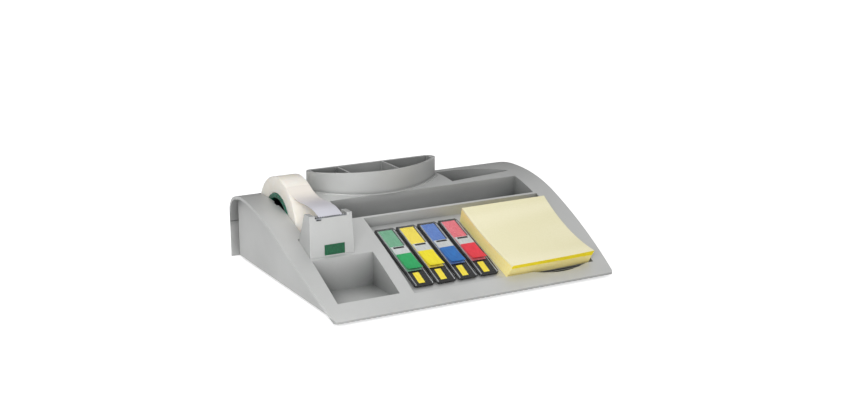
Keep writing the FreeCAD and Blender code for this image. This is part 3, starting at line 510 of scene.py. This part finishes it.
# ------------------------------------------------------------------ nose label
# Plain green paper label, stuck on the front of the nose, drawn a little wider and taller than
# the solid. The ink gives one even dark green, and the clear varnish a soft gloss.
label_green, label_shader, label_spot = new_look("varnished_paper_green", "#035A38",
                                                 Roughness=0.35)
label_ink = add(label_green, "ShaderNodeTexNoise", {"Vector": label_spot, "Scale": 1 / 0.0015,
                                                    "Detail": 4.0})
feed(label_green, tones(label_green, label_ink.outputs["Fac"], (0.35, "#024A2E"),
                        (0.68, "#05663F")), label_shader, "Base Color")
raise_surface(label_green, label_shader, label_ink.outputs["Fac"], 0.15, 0.00004)
label_stretch = (1.07, 1.10)
label_edge = 0.00012
label = merged_copy("nose_label")
label_low, label_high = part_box("nose_label")
for vertex in label.data.vertices:
    vertex.co.x = label_low[0] + (vertex.co.x - label_low[0]) * label_stretch[0]
    vertex.co.z = label_high[2] - (label_high[2] - vertex.co.z) * label_stretch[1]
round_off(label, label_edge)
finish(label, "label_blank", label_green, "case", "label_green", "nose_label")

# ------------------------------------------------------------------ tape roll
# Refill roll: many turns of matt acetate tape on a green core, pushed onto the black spool,
# whose stub axles drop into the grooves of the well.
roll_centre = Vector((-0.0990, 0.0355, 0.0440))
winding_half = 0.0106
winding_inner = 0.02465
winding_outer = 0.0379
winding_edge = 0.0007
core_proud = 0.0002
core_inner = 0.0206
core_outer = 0.0246
core_edge = 0.0005
spool_sleeve = 0.012        # the sleeve lies outside this radius, the axles inside
spool_end = 0.0002
spool_inset = 0.0022
spool_edge = 0.0004
steps_around = 128


def turned_ring(inner, outer, half, edge):
    """Ring round the roll's axle: a rectangle with rounded corners, spun a full turn."""
    bpy.ops.object.select_all(action="DESELECT")
    bpy.ops.mesh.primitive_plane_add(size=1, location=roll_centre)
    ring = bpy.context.object
    ring.scale = (half * 2, outer - inner, 1)
    bpy.ops.object.transform_apply(location=False, scale=True)
    bpy.ops.object.mode_set(mode="EDIT")
    bpy.ops.mesh.select_all(action="SELECT")
    bpy.ops.transform.translate(value=(0, (inner + outer) / 2, 0))
    bpy.ops.mesh.bevel(offset=edge, segments=4, affect="VERTICES")
    bpy.ops.mesh.delete(type="ONLY_FACE")
    bpy.ops.mesh.select_all(action="SELECT")
    bpy.ops.mesh.spin(steps=steps_around, angle=math.tau, center=roll_centre, axis=(1, 0, 0))
    bpy.ops.mesh.select_all(action="SELECT")
    bpy.ops.mesh.remove_doubles(threshold=1e-6)
    bpy.ops.mesh.normals_make_consistent(inside=False)
    bpy.ops.object.mode_set(mode="OBJECT")
    bpy.ops.object.shade_smooth_by_angle(angle=math.radians(40))
    return ring


# Wound acetate tape: milky and a little translucent. On the sides the edges of the turns
# draw fine rings; real turns are 0.06 mm apart, and these are drawn 0.7 mm apart to show.
turn_pitch = 0.0007
wound_tape, wound_shader, wound_spot = new_look(
    "wound_matt_acetate", "#EFE8DA", Roughness=0.38, Subsurface_Weight=0.35,
    Subsurface_Scale=0.006, Subsurface_Radius=(1.0, 0.85, 0.7))
wound_shift = add(wound_tape, "ShaderNodeMapping", {"Vector": wound_spot,
                                                    "Location": tuple(-roll_centre)})
wound_flat = add(wound_tape, "ShaderNodeVectorMath", {0: wound_shift.outputs["Vector"],
                                                      1: (0, 1, 1)}, operation="MULTIPLY")
wound_radius = add(wound_tape, "ShaderNodeVectorMath", {0: wound_flat.outputs["Vector"]},
                   operation="LENGTH")
wound_turns = add(wound_tape, "ShaderNodeMath", {0: wound_radius.outputs["Value"],
                                                 1: math.tau / turn_pitch}, operation="MULTIPLY")
wound_wave = add(wound_tape, "ShaderNodeMath", {0: wound_turns.outputs[0]}, operation="SINE")
wound_cloud = add(wound_tape, "ShaderNodeTexNoise", {"Vector": wound_spot, "Scale": 1 / 0.006,
                                                     "Detail": 3.0})
wound_tone = add(wound_tape, "ShaderNodeMath", {0: wound_wave.outputs[0], 1: 0.05,
                                                2: wound_cloud.outputs["Fac"]},
                 operation="MULTIPLY_ADD")
feed(wound_tape, tones(wound_tape, wound_tone.outputs[0], (0.25, "#F8F0E4"),
                       (0.75, "#FCF6EE")), wound_shader, "Base Color")
raise_surface(wound_tape, wound_shader, wound_wave.outputs[0], 0.15, 0.00003)
winding = turned_ring(winding_inner, winding_outer, winding_half, winding_edge)
finish(winding, "tape_winding_turns", wound_tape, "tape_roll", "tape_film", "tape_winding")

# Glossy moulded polystyrene in dark green, with a faint flow pattern under the gloss.
core_green, core_shader, core_spot = new_look("moulded_green_polystyrene", "#04604A",
                                              Roughness=0.25, Coat_Weight=0.2)
core_flow = add(core_green, "ShaderNodeTexNoise", {"Vector": core_spot, "Scale": 1 / 0.004,
                                                   "Detail": 3.0})
feed(core_green, tones(core_green, core_flow.outputs["Fac"], (0.35, "#03563F"),
                       (0.70, "#08735A")), core_shader, "Base Color")
raise_surface(core_green, core_shader, core_flow.outputs["Fac"], 0.2, 0.00005)
core = turned_ring(core_inner, core_outer, winding_half + core_proud, core_edge)
finish(core, "tape_core_ring", core_green, "tape_roll", "core_green", "tape_core")

# Spool in the same family of plastic, black, satin from the mould. The left end of its sleeve
# lies a little inside the core, whose green wall shows round it.
spool_black = grained_plastic("moulded_black_polystyrene", "#0B0C0D", "#141617", 0.0009,
                              0.00003, Roughness=0.42)
spool = merged_copy("tape_spool")
spool_left = min(vertex.co.x for vertex in spool.data.vertices
                 if (vertex.co - roll_centre).yz.length > spool_sleeve)
for vertex in spool.data.vertices:
    if ((vertex.co - roll_centre).yz.length > spool_sleeve
            and vertex.co.x < spool_left + spool_end):
        vertex.co.x += spool_inset
round_off(spool, spool_edge)
finish(spool, "spool_moulding", spool_black, "tape_roll", "spool_black", "tape_spool")

# ------------------------------------------------------------------ free strip of tape
# The last turn leaves the roll, hangs in an easy bend, bows up over the platform and comes
# down on the blade. One thin, matt, half-clear film. Its path is in millimetres: the run from
# the organizer's front edge, and the height over the desk.
strip_path = [(130.0, 80.35), (126.5, 79.25), (121.5, 77.05), (117.8, 75.0), (114.6, 73.4),
              (111.0, 72.2), (107.0, 71.3), (102.5, 70.8),
              (97.0, 70.6), (90.0, 70.7), (84.0, 70.7), (78.5, 70.3), (74.0, 69.4),
              (70.3, 68.1), (67.3, 66.8), (65.3, 65.8)]
front_edge = -0.1045
strip_width = 0.0204
strip_thickness = 0.00012
strip_cross_bow = 0.0005
strip_drift = 0.0024
strip_columns = 12
strip_spans = len(strip_path) - 1

# Matt acetate: a faint lilac white, half clear, with a soft gloss and tiny ripples.
tape_film, film_shader, film_spot = new_look("cast_matt_acetate", "#E6E2E8", Roughness=0.3,
                                             Alpha=0.92, IOR=1.47)
film_ripple = add(tape_film, "ShaderNodeTexNoise", {"Vector": film_spot, "Scale": 1 / 0.003,
                                                    "Detail": 2.0})
film_parts = add(tape_film, "ShaderNodeSeparateXYZ", {"Vector": film_spot})
film_place = add(tape_film, "ShaderNodeMapRange", {"Value": film_parts.outputs["Y"],
                                                   "From Min": -0.034, "From Max": 0.012})
film_tone = add(tape_film, "ShaderNodeMath", {0: film_ripple.outputs["Fac"], 1: 0.12,
                                              2: film_place.outputs["Result"]},
                operation="MULTIPLY_ADD")
feed(tape_film, tones(tape_film, film_tone.outputs[0], (0.05, "#D3D3DC"), (0.5, "#E4E1E6"),
                      (1.0, "#F8F1E8")), film_shader, "Base Color")
raise_surface(tape_film, film_shader, film_ripple.outputs["Fac"], 0.1, 0.00005)

bpy.ops.object.select_all(action="DESELECT")
bpy.ops.mesh.primitive_grid_add(x_subdivisions=strip_columns, y_subdivisions=strip_spans * 3,
                                size=1)
strip = bpy.context.object
for vertex in strip.data.vertices:
    share = vertex.co.y + 0.5
    place = (1 - share) * strip_spans
    low = min(int(place), strip_spans - 1)
    run, height = Vector(strip_path[low]).lerp(Vector(strip_path[low + 1]), place - low)
    bow = strip_cross_bow * (1 - share) * (1 - (vertex.co.x * 2) ** 2)
    drift = strip_drift * (1 - share)
    vertex.co = (roll_centre.x + drift + vertex.co.x * strip_width, front_edge + run / 1000,
                 height / 1000 + bow)
change(strip, "SOLIDIFY", thickness=strip_thickness, offset=0)
change(strip, "SUBSURF", levels=1, render_levels=1)
bpy.ops.object.shade_smooth()
finish(strip, "tape_free_strip", tape_film, "case", "tape_film", "tape_strip")

# ------------------------------------------------------------------ index flag units
# Four clip-in refills on the sloping floor. Each is a black holder with a folded pack of film
# flags, a clear cover with side rails, a white film band with the pull slot, the bright end
# of the first flag, and a plain yellow sticker on the nose.
unit_left = -0.0470
unit_pitch = 0.0195
unit_run = 0.0071
unit_width = 0.0162
unit_length = 0.0730
unit_top = 0.0035
holder_edge = 0.0003
flange_reach = 0.0011
flange_front = -0.0013
flange_low = 0.0026
flange_high = 0.0034
flange_corner = 0.0030
flange_edge = 0.00025
nose_back = 0.0150
nose_drop = 0.0012
flag_width = 0.0130
well_side = 0.0005
well_front = 0.001
well_back = 0.0015
well_through = 0.001
stack_edge = 0.0002
rail_inset = 0.0004
rail_width = 0.0008
rail_height = 0.0011
rail_front = -0.0004
rail_foot = 0.0012
rail_tip = 0.45             # share of the height left at the front
rail_dip = 0.0007
rail_edge = 0.0003
window_front = 0.0156
window_back = 0.0722
window_edge = 0.0004
cover_top = 0.0044
band_front = 0.0360
band_back = 0.0470
band_reach = 0.0002
band_thickness = 0.00015
slot_centre = 0.0455
slot_half = (0.0048, 0.0011)
slot_through = (0.0002, 0.0008)
slot_shade_half = (0.0050, 0.0013)
slot_shade_height = (0.00015, 0.00006)
slot_shade_edge = 0.00003
tab_front = 0.0165
tab_tuck = 0.001
tab_rise = 0.0003
tab_thickness = 0.0002
tab_curl = 0.0011
tab_curl_end = 0.55         # share of its length
tab_cross_bow = 0.0003
sticker_left = -0.0037
sticker_right = 0.0017
sticker_front = 0.0018
sticker_back = 0.0138
sticker_thickness = 0.0002
sticker_corner = 0.0008
sticker_gap = 0.00005
flag_names = ("green", "yellow", "blue", "red")
muted = (("#4F9F74", "#63B087"), ("#F5DC00", "#FFE81E"), ("#2C66BE", "#3F7CD0"),
         ("#E45466", "#F06F7F"))
bright = (("#009A50", "#08AC60"), ("#F0DE00", "#FBEC10"), ("#0B60AE", "#1574C4"),
          ("#DE1830", "#EE2C44"))


def film_look(name, low, high, rough, **sockets):
    """Extruded and printed film: even colour, a soft gloss and faint rolling lines."""
    look, shader, spot = new_look(name, high, Roughness=rough, **sockets)
    lines = add(look, "ShaderNodeMapping", {"Vector": spot, "Scale": (6, 1, 1)})
    wave = add(look, "ShaderNodeTexNoise", {"Vector": lines.outputs["Vector"],
                                            "Scale": 1 / 0.006, "Detail": 3.0})
    feed(look, tones(look, wave.outputs["Fac"], (0.34, low), (0.68, high)), shader, "Base Color")
    raise_surface(look, shader, wave.outputs["Fac"], 0.25, 0.00006)
    return look


def pick_corners(test):
    """In edit mode, select the upright edges whose place passes the test."""
    bpy.ops.mesh.select_mode(type="EDGE")
    bpy.ops.mesh.select_all(action="DESELECT")
    bpy.ops.object.mode_set(mode="OBJECT")
    mesh = bpy.context.object.data
    for edge in mesh.edges:
        one, other = (mesh.vertices[corner].co for corner in edge.vertices)
        if abs(one.z - other.z) > 0.9 * (one - other).length:
            edge.select = bool(test((one + other) / 2))
    bpy.ops.object.mode_set(mode="EDIT")


# Glossy black polystyrene gives sharp highlights. Clear moulded polystyrene gives little but
# its reflections under a faint haze; its rails are seen edge on and look grey. The band is
# flat white film, and the sticker is varnished paper in one even yellow.
holder_black = grained_plastic("glossy_black_polystyrene", "#0C0D0E", "#17191A", 0.0008,
                               0.00002, Roughness=0.28)
clear_cover, cover_shader, cover_spot = new_look("clear_moulded_polystyrene", "#F2F4F4",
                                                 Roughness=0.08, Alpha=0.05)
cover_haze = add(clear_cover, "ShaderNodeTexNoise", {"Vector": cover_spot, "Scale": 1 / 0.002,
                                                     "Detail": 3.0})
feed(clear_cover, add(clear_cover, "ShaderNodeMapRange", {
    "Value": cover_haze.outputs["Fac"], "To Min": 0.03, "To Max": 0.16}).outputs["Result"],
    cover_shader, "Roughness")
hazy_rail = film_look("clear_polystyrene_rail", "#C3C6C9", "#E2E5E6", 0.12, Alpha=0.50)
white_film = film_look("white_acetate_film", "#BFC4C3", "#D2D6D5", 0.3)
sticker = film_look("varnished_yellow_paper", "#EBD322", "#F8E64E", 0.4)

for number, name in enumerate(flag_names, 1):
    node = f"_{number}"
    body = f"flag_unit_{number}"
    x = unit_left + unit_pitch * (number - 1)
    middle = unit_width / 2
    flag_left = middle - flag_width / 2
    flag_right = middle + flag_width / 2
    pack_film = film_look(f"folded_film_pack_{name}", *muted[number - 1], 0.35)
    flag_film = film_look(f"printed_film_{name}", *bright[number - 1], 0.32)

    holder = merged_copy("flag_base" + node)
    round_off(holder, holder_edge)
    finish(holder, "flag_holder" + node, holder_black, body, "holder_black",
           "flag_base" + node)

    flange = new_slab((-flange_reach, flange_front, flange_low),
                      (unit_width + flange_reach, unit_length, flange_high))
    bpy.ops.object.mode_set(mode="EDIT")
    pick_corners(lambda spot: True)
    bpy.ops.mesh.bevel(offset=flange_corner, segments=5)
    bpy.ops.mesh.select_all(action="SELECT")
    bpy.ops.mesh.bisect(plane_co=(0, nose_back, 0), plane_no=(0, 1, 0))
    bpy.ops.object.mode_set(mode="OBJECT")
    for vertex in flange.data.vertices:
        vertex.co.z -= nose_drop * max(0.0, 1 - vertex.co.y / nose_back)
    well = new_slab(
        (flag_left - well_side, nose_back + well_front, flange_low - well_through),
        (flag_right + well_side, unit_length - well_back, flange_high + well_through))
    change(flange, "BOOLEAN", object=well, operation="DIFFERENCE", solver="EXACT")
    bpy.data.objects.remove(well)
    round_off(flange, flange_edge)
    lay_on_floor(flange, x, unit_run, 0)
    finish(flange, "flag_flange" + node, holder_black, body, "holder_black")

    pack = merged_copy("flag_pack" + node)
    round_off(pack, stack_edge)
    finish(pack, "flag_stack" + node, pack_film, body, "pack_" + name, "flag_pack" + node)

    cover = new_slab((rail_inset, window_front, unit_top),
                     (unit_width - rail_inset, window_back, cover_top))
    bpy.ops.object.mode_set(mode="EDIT")
    pick_corners(lambda spot: spot.y > (window_front + window_back) / 2)
    bpy.ops.mesh.bevel(offset=flange_corner, segments=5)
    bpy.ops.object.mode_set(mode="OBJECT")
    round_off(cover, window_edge)
    lay_on_floor(cover, x, unit_run, 0)
    finish(cover, "flag_window" + node, clear_cover, body, "cover_clear", "flag_cover" + node)

    for side, left in (("left", rail_inset), ("right", unit_width - rail_inset - rail_width)):
        rail = new_slab((left, rail_front, unit_top - rail_foot),
                        (left + rail_width, window_back - flange_corner, unit_top + rail_height))
        bpy.ops.object.mode_set(mode="EDIT")
        pick_faces(lambda centre, normal: normal.y < -0.9)
        bpy.ops.transform.resize(value=(1, 1, rail_tip))
        bpy.ops.transform.translate(value=(0, 0, -rail_dip))
        bpy.ops.object.mode_set(mode="OBJECT")
        round_off(rail, rail_edge)
        lay_on_floor(rail, x, unit_run, 0)
        finish(rail, f"flag_rail_{side}{node}", hazy_rail, body, "cover_clear")

    band = new_slab((flag_left - band_reach, band_front, cover_top),
                    (flag_right + band_reach, band_back, cover_top + band_thickness))
    slot = new_slab(
        (middle - slot_half[0], slot_centre - slot_half[1], cover_top - slot_through[0]),
        (middle + slot_half[0], slot_centre + slot_half[1], cover_top + slot_through[1]))
    change(band, "BOOLEAN", object=slot, operation="DIFFERENCE", solver="EXACT")
    bpy.data.objects.remove(slot)
    lay_on_floor(band, x, unit_run, 0)
    finish(band, "flag_band" + node, white_film, body, "cover_clear")

    # A thin black sheet fills the pull slot: painted shade for the dark inside of the slot.
    slot_shade = new_slab(
        (middle - slot_shade_half[0], slot_centre - slot_shade_half[1], cover_top - slot_shade_height[0]),
        (middle + slot_shade_half[0], slot_centre + slot_shade_half[1], cover_top + slot_shade_height[1]))
    round_off(slot_shade, slot_shade_edge)
    lay_on_floor(slot_shade, x, unit_run, 0)
    finish(slot_shade, "flag_slot_shade" + node, holder_black, body, "holder_black")

    bpy.ops.object.select_all(action="DESELECT")
    bpy.ops.mesh.primitive_grid_add(x_subdivisions=8, y_subdivisions=16, size=1)
    tab = bpy.context.object
    for vertex in tab.data.vertices:
        share = vertex.co.y + 0.5
        curl = tab_curl * max(0.0, 1 - share / tab_curl_end) ** 2
        cross = tab_cross_bow * (vertex.co.x * 2) ** 2 * (1 - share)
        vertex.co = (middle + vertex.co.x * flag_width,
                     tab_front + share * (band_front + tab_tuck - tab_front),
                     cover_top + tab_rise + curl + cross)
    change(tab, "SOLIDIFY", thickness=tab_thickness, offset=0)
    bpy.ops.object.shade_smooth_by_angle(angle=math.radians(40))
    lay_on_floor(tab, x, unit_run, 0)
    finish(tab, "flag_tab" + node, flag_film, body, "flag_" + name, "flag_lead" + node)

    patch = new_slab((middle + sticker_left, sticker_front, 0),
                     (middle + sticker_right, sticker_back, sticker_thickness))
    change(patch, "BEVEL", width=sticker_corner, segments=3, limit_method="ANGLE",
           angle_limit=math.radians(60))
    for vertex in patch.data.vertices:
        vertex.co.z += (flange_high - nose_drop + nose_drop * vertex.co.y / nose_back
                        + sticker_gap)
    lay_on_floor(patch, x, unit_run, 0)
    finish(patch, "flag_sticker" + node, sticker, body, "flag_yellow")

# ------------------------------------------------------------------ note pad
# A block of square paper notes in the right half of the recess. The sheets hold on a strip of
# glue, so the block sags in the middle, and it leans: its top sheets have crept forward.
pad_left = 0.0328
pad_run = 0.0004
pad_width = 0.0784
pad_length = 0.0790
pad_rise = 0.0001
pad_height = 0.0110
pad_back_rise = 0.0024
pad_sag_left = 0.0028
pad_sag_right = 0.0046
pad_lean = (0.0020, -0.0014)
pad_spread = 0.0030
pad_cuts = 23
corner_lift = 0.0010
lean_block = (0.0, 0.9)
lean_sheets = (0.92, 1.0)
sheets_height = 0.0011
sheets_gap = 0.0001
edge_band = 0.0022
facing_front = -0.7


def paper_look(name, low, high, pitch):
    """Uncoated coloured paper: fibres in the face, and the cut edges of the sheets as lines.

    A sheet is 0.1 mm thick. Its edge is drawn four times as thick, or it would not show, and
    forty times on the top face, where only a slow drift of tone is wanted.
    """
    look, shader, spot = new_look(name, high, Roughness=0.85, Specular_IOR_Level=0.25)
    flat = add(look, "ShaderNodeMapping", {"Vector": spot, "Rotation": (-floor_tilt, 0, 0)})
    parts = add(look, "ShaderNodeSeparateXYZ", {"Vector": flat.outputs["Vector"]})
    fibre = add(look, "ShaderNodeTexNoise", {"Vector": spot, "Scale": 1 / 0.0012, "Detail": 6.0})
    cloud = add(look, "ShaderNodeTexNoise", {"Vector": spot, "Scale": 1 / 0.012, "Detail": 2.0})
    level = add(look, "ShaderNodeMath", {0: cloud.outputs["Fac"], 1: 0.0002,
                                         2: parts.outputs["Z"]}, operation="MULTIPLY_ADD")
    turns = add(look, "ShaderNodeMath", {0: level.outputs[0], 1: math.tau / pitch},
                operation="MULTIPLY")
    sheets = add(look, "ShaderNodeMath", {0: turns.outputs[0]}, operation="SINE")
    tone = add(look, "ShaderNodeMath", {0: sheets.outputs[0], 1: 0.22,
                                        2: fibre.outputs["Fac"]}, operation="MULTIPLY_ADD")
    feed(look, tones(look, tone.outputs[0], (0.25, low), (0.75, high)), shader, "Base Color")
    raise_surface(look, shader, tone.outputs[0], 0.12, 0.00005)
    return look


def paper_block(rise, height, lean_from, lean_to):
    """Block of sheets laid on the floor, dished from front to back and leaning as it rises."""
    block = new_slab((0, 0, 0), (pad_width, pad_length, height))
    bpy.ops.object.mode_set(mode="EDIT")
    bpy.ops.mesh.select_all(action="SELECT")
    bpy.ops.mesh.subdivide(number_cuts=pad_cuts)
    bpy.ops.object.mode_set(mode="OBJECT")
    for vertex in block.data.vertices:
        u, v, w = vertex.co.x / pad_width, vertex.co.y / pad_length, vertex.co.z / height
        lean = lean_from + (lean_to - lean_from) * w
        sag = pad_sag_left + (pad_sag_right - pad_sag_left) * u
        dish = sag * (1 - (2 * v - 1) ** 2) * lean
        lift = corner_lift * u ** 3 * (1 - v) ** 4
        vertex.co.x += pad_lean[0] * lean * (1 - 1.2 * v) + pad_spread * (u - 0.5) * v * lean
        vertex.co.y += pad_lean[1] * lean * (1 - 0.3 * u)
        vertex.co.z += rise - dish + pad_back_rise * v * lean + lift
    return block


block_paper = paper_look("uncoated_pale_yellow_paper", "#FFE88E", "#FFF5B2", 0.0004)
top_paper = paper_look("uncoated_cream_yellow_paper", "#F5EFC8", "#FBF5D2", 0.0040)
edge_paper = paper_look("bright_yellow_paper_edge", "#FBDF18", "#FFEC38", 0.0004)

pad = paper_block(pad_rise, pad_height, *lean_block)
lay_on_floor(pad, pad_left, pad_run, 0)
bpy.ops.object.shade_smooth_by_angle(angle=math.radians(40))
finish(pad, "note_block", block_paper, "notes", "note_paper", "note_pad")
pad.data.materials.append(edge_paper)
level_floor = Matrix.Rotation(-floor_tilt, 4, "X") @ Matrix.Translation(-floor_origin)
for face in pad.data.polygons:
    high_up = (level_floor @ face.center).z > pad_height - edge_band
    if face.normal.y < facing_front and high_up:
        face.material_index = 1

sheets = paper_block(pad_rise + pad_height + sheets_gap, sheets_height, *lean_sheets)
lay_on_floor(sheets, pad_left, pad_run, 0)
bpy.ops.object.shade_smooth_by_angle(angle=math.radians(40))
finish(sheets, "note_top_sheets_crept", top_paper, "notes", "note_paper", "note_top_sheets")
sheets.data.materials.append(edge_paper)
for face in sheets.data.polygons:
    if face.normal.y < facing_front:
        face.material_index = 1

# ------------------------------------------------------------------ floor, light and camera
# A seamless white table, one large soft lamp from the left front, a weak one from the right,
# and a room that is bright overhead.
table_size = 12
table_glow = 0.65
table_glow_mirrored = 0.45  # share of that glow
sky_low = (0.38, 0.03)      # rise of the direction, and the light from there
sky_high = (0.80, 0.84)

# The table is matt paper. It glows for the camera, through clear pieces and, more weakly, in
# reflections, so it reads as an even white with faint shadows. It throws no light by itself.
bpy.ops.object.select_all(action="DESELECT")
bpy.ops.mesh.primitive_plane_add(size=table_size, location=(0, 0, 0))
table = bpy.context.object
table.name = "table"
table_white, table_shader = new_look("white_table", "#F2F2F2", Roughness=0.9)[:2]
rays = add(table_white, "ShaderNodeLightPath", {})
seen = add(table_white, "ShaderNodeMath", {0: rays.outputs["Is Glossy Ray"],
                                           1: table_glow_mirrored,
                                           2: rays.outputs["Is Camera Ray"]},
           operation="MULTIPLY_ADD")
seen_through = add(table_white, "ShaderNodeMath", {0: seen.outputs[0],
                                                   1: rays.outputs["Is Transmission Ray"]})
glow = add(table_white, "ShaderNodeMath", {0: seen_through.outputs[0], 1: table_glow},
           operation="MULTIPLY")
table_shader.inputs["Emission Color"].default_value = (1, 1, 1, 1)
feed(table_white, glow.outputs[0], table_shader, "Emission Strength")
table.data.materials.append(table_white)

# The room gives little light from near the horizon and most from overhead, which draws soft
# lines on the rims. The camera sees it as plain white all round.
studio = bpy.data.worlds.new("studio")
bpy.context.scene.world = studio
studio.use_nodes = True
sky = studio.node_tree.nodes["Background"]
sky_spot = add(studio, "ShaderNodeTexCoord", {}).outputs["Generated"]
sky_parts = add(studio, "ShaderNodeSeparateXYZ", {"Vector": sky_spot})
sky_rise = add(studio, "ShaderNodeMapRange", {"Value": sky_parts.outputs["Z"],
                                              "From Min": sky_low[0],
                                              "From Max": sky_high[0],
                                              "To Min": sky_low[1], "To Max": sky_high[1]},
               interpolation_type="SMOOTHSTEP")
sky_rays = add(studio, "ShaderNodeLightPath", {})
sky_glow = add(studio, "ShaderNodeMath", {0: sky_rise.outputs["Result"],
                                          1: sky_rays.outputs["Is Camera Ray"]},
               operation="MAXIMUM")
feed(studio, sky_glow.outputs[0], sky, "Strength")
sky.inputs["Color"].default_value = (1, 1, 1, 1)


def hang_lamp(name, place, size, power):
    """Square lamp that faces the origin and stays out of the picture."""
    light = bpy.data.lights.new(name, "AREA")
    light.shape = "SQUARE"
    light.size = size
    light.energy = power
    lamp = bpy.data.objects.new(name, light)
    bpy.context.scene.collection.objects.link(lamp)
    lamp.location = place
    lamp.rotation_euler = (-Vector(place)).to_track_quat("-Z", "Y").to_euler()
    lamp.visible_camera = False


hang_lamp("key", (-0.40, -0.52, 0.31), 0.35, 2.95)
hang_lamp("fill", (1.3, -0.9, 0.9), 1.0, 1)

# A moderate tele lens from the left front, a little above the object.
lens = bpy.data.cameras.new("camera")
lens.lens = 57.35
lens.sensor_width = 36
lens.clip_start = 0.05
lens.clip_end = 20
camera = bpy.data.objects.new("camera", lens)
bpy.context.scene.collection.objects.link(camera)
camera.location = (-0.52192, -0.95234, 0.34266)
camera.rotation_euler = Vector((0.4709, 0.8437, -0.2578)).to_track_quat("-Z", "Y").to_euler()
bpy.context.scene.camera = camera
bpy.context.scene.view_settings.view_transform = "Standard"
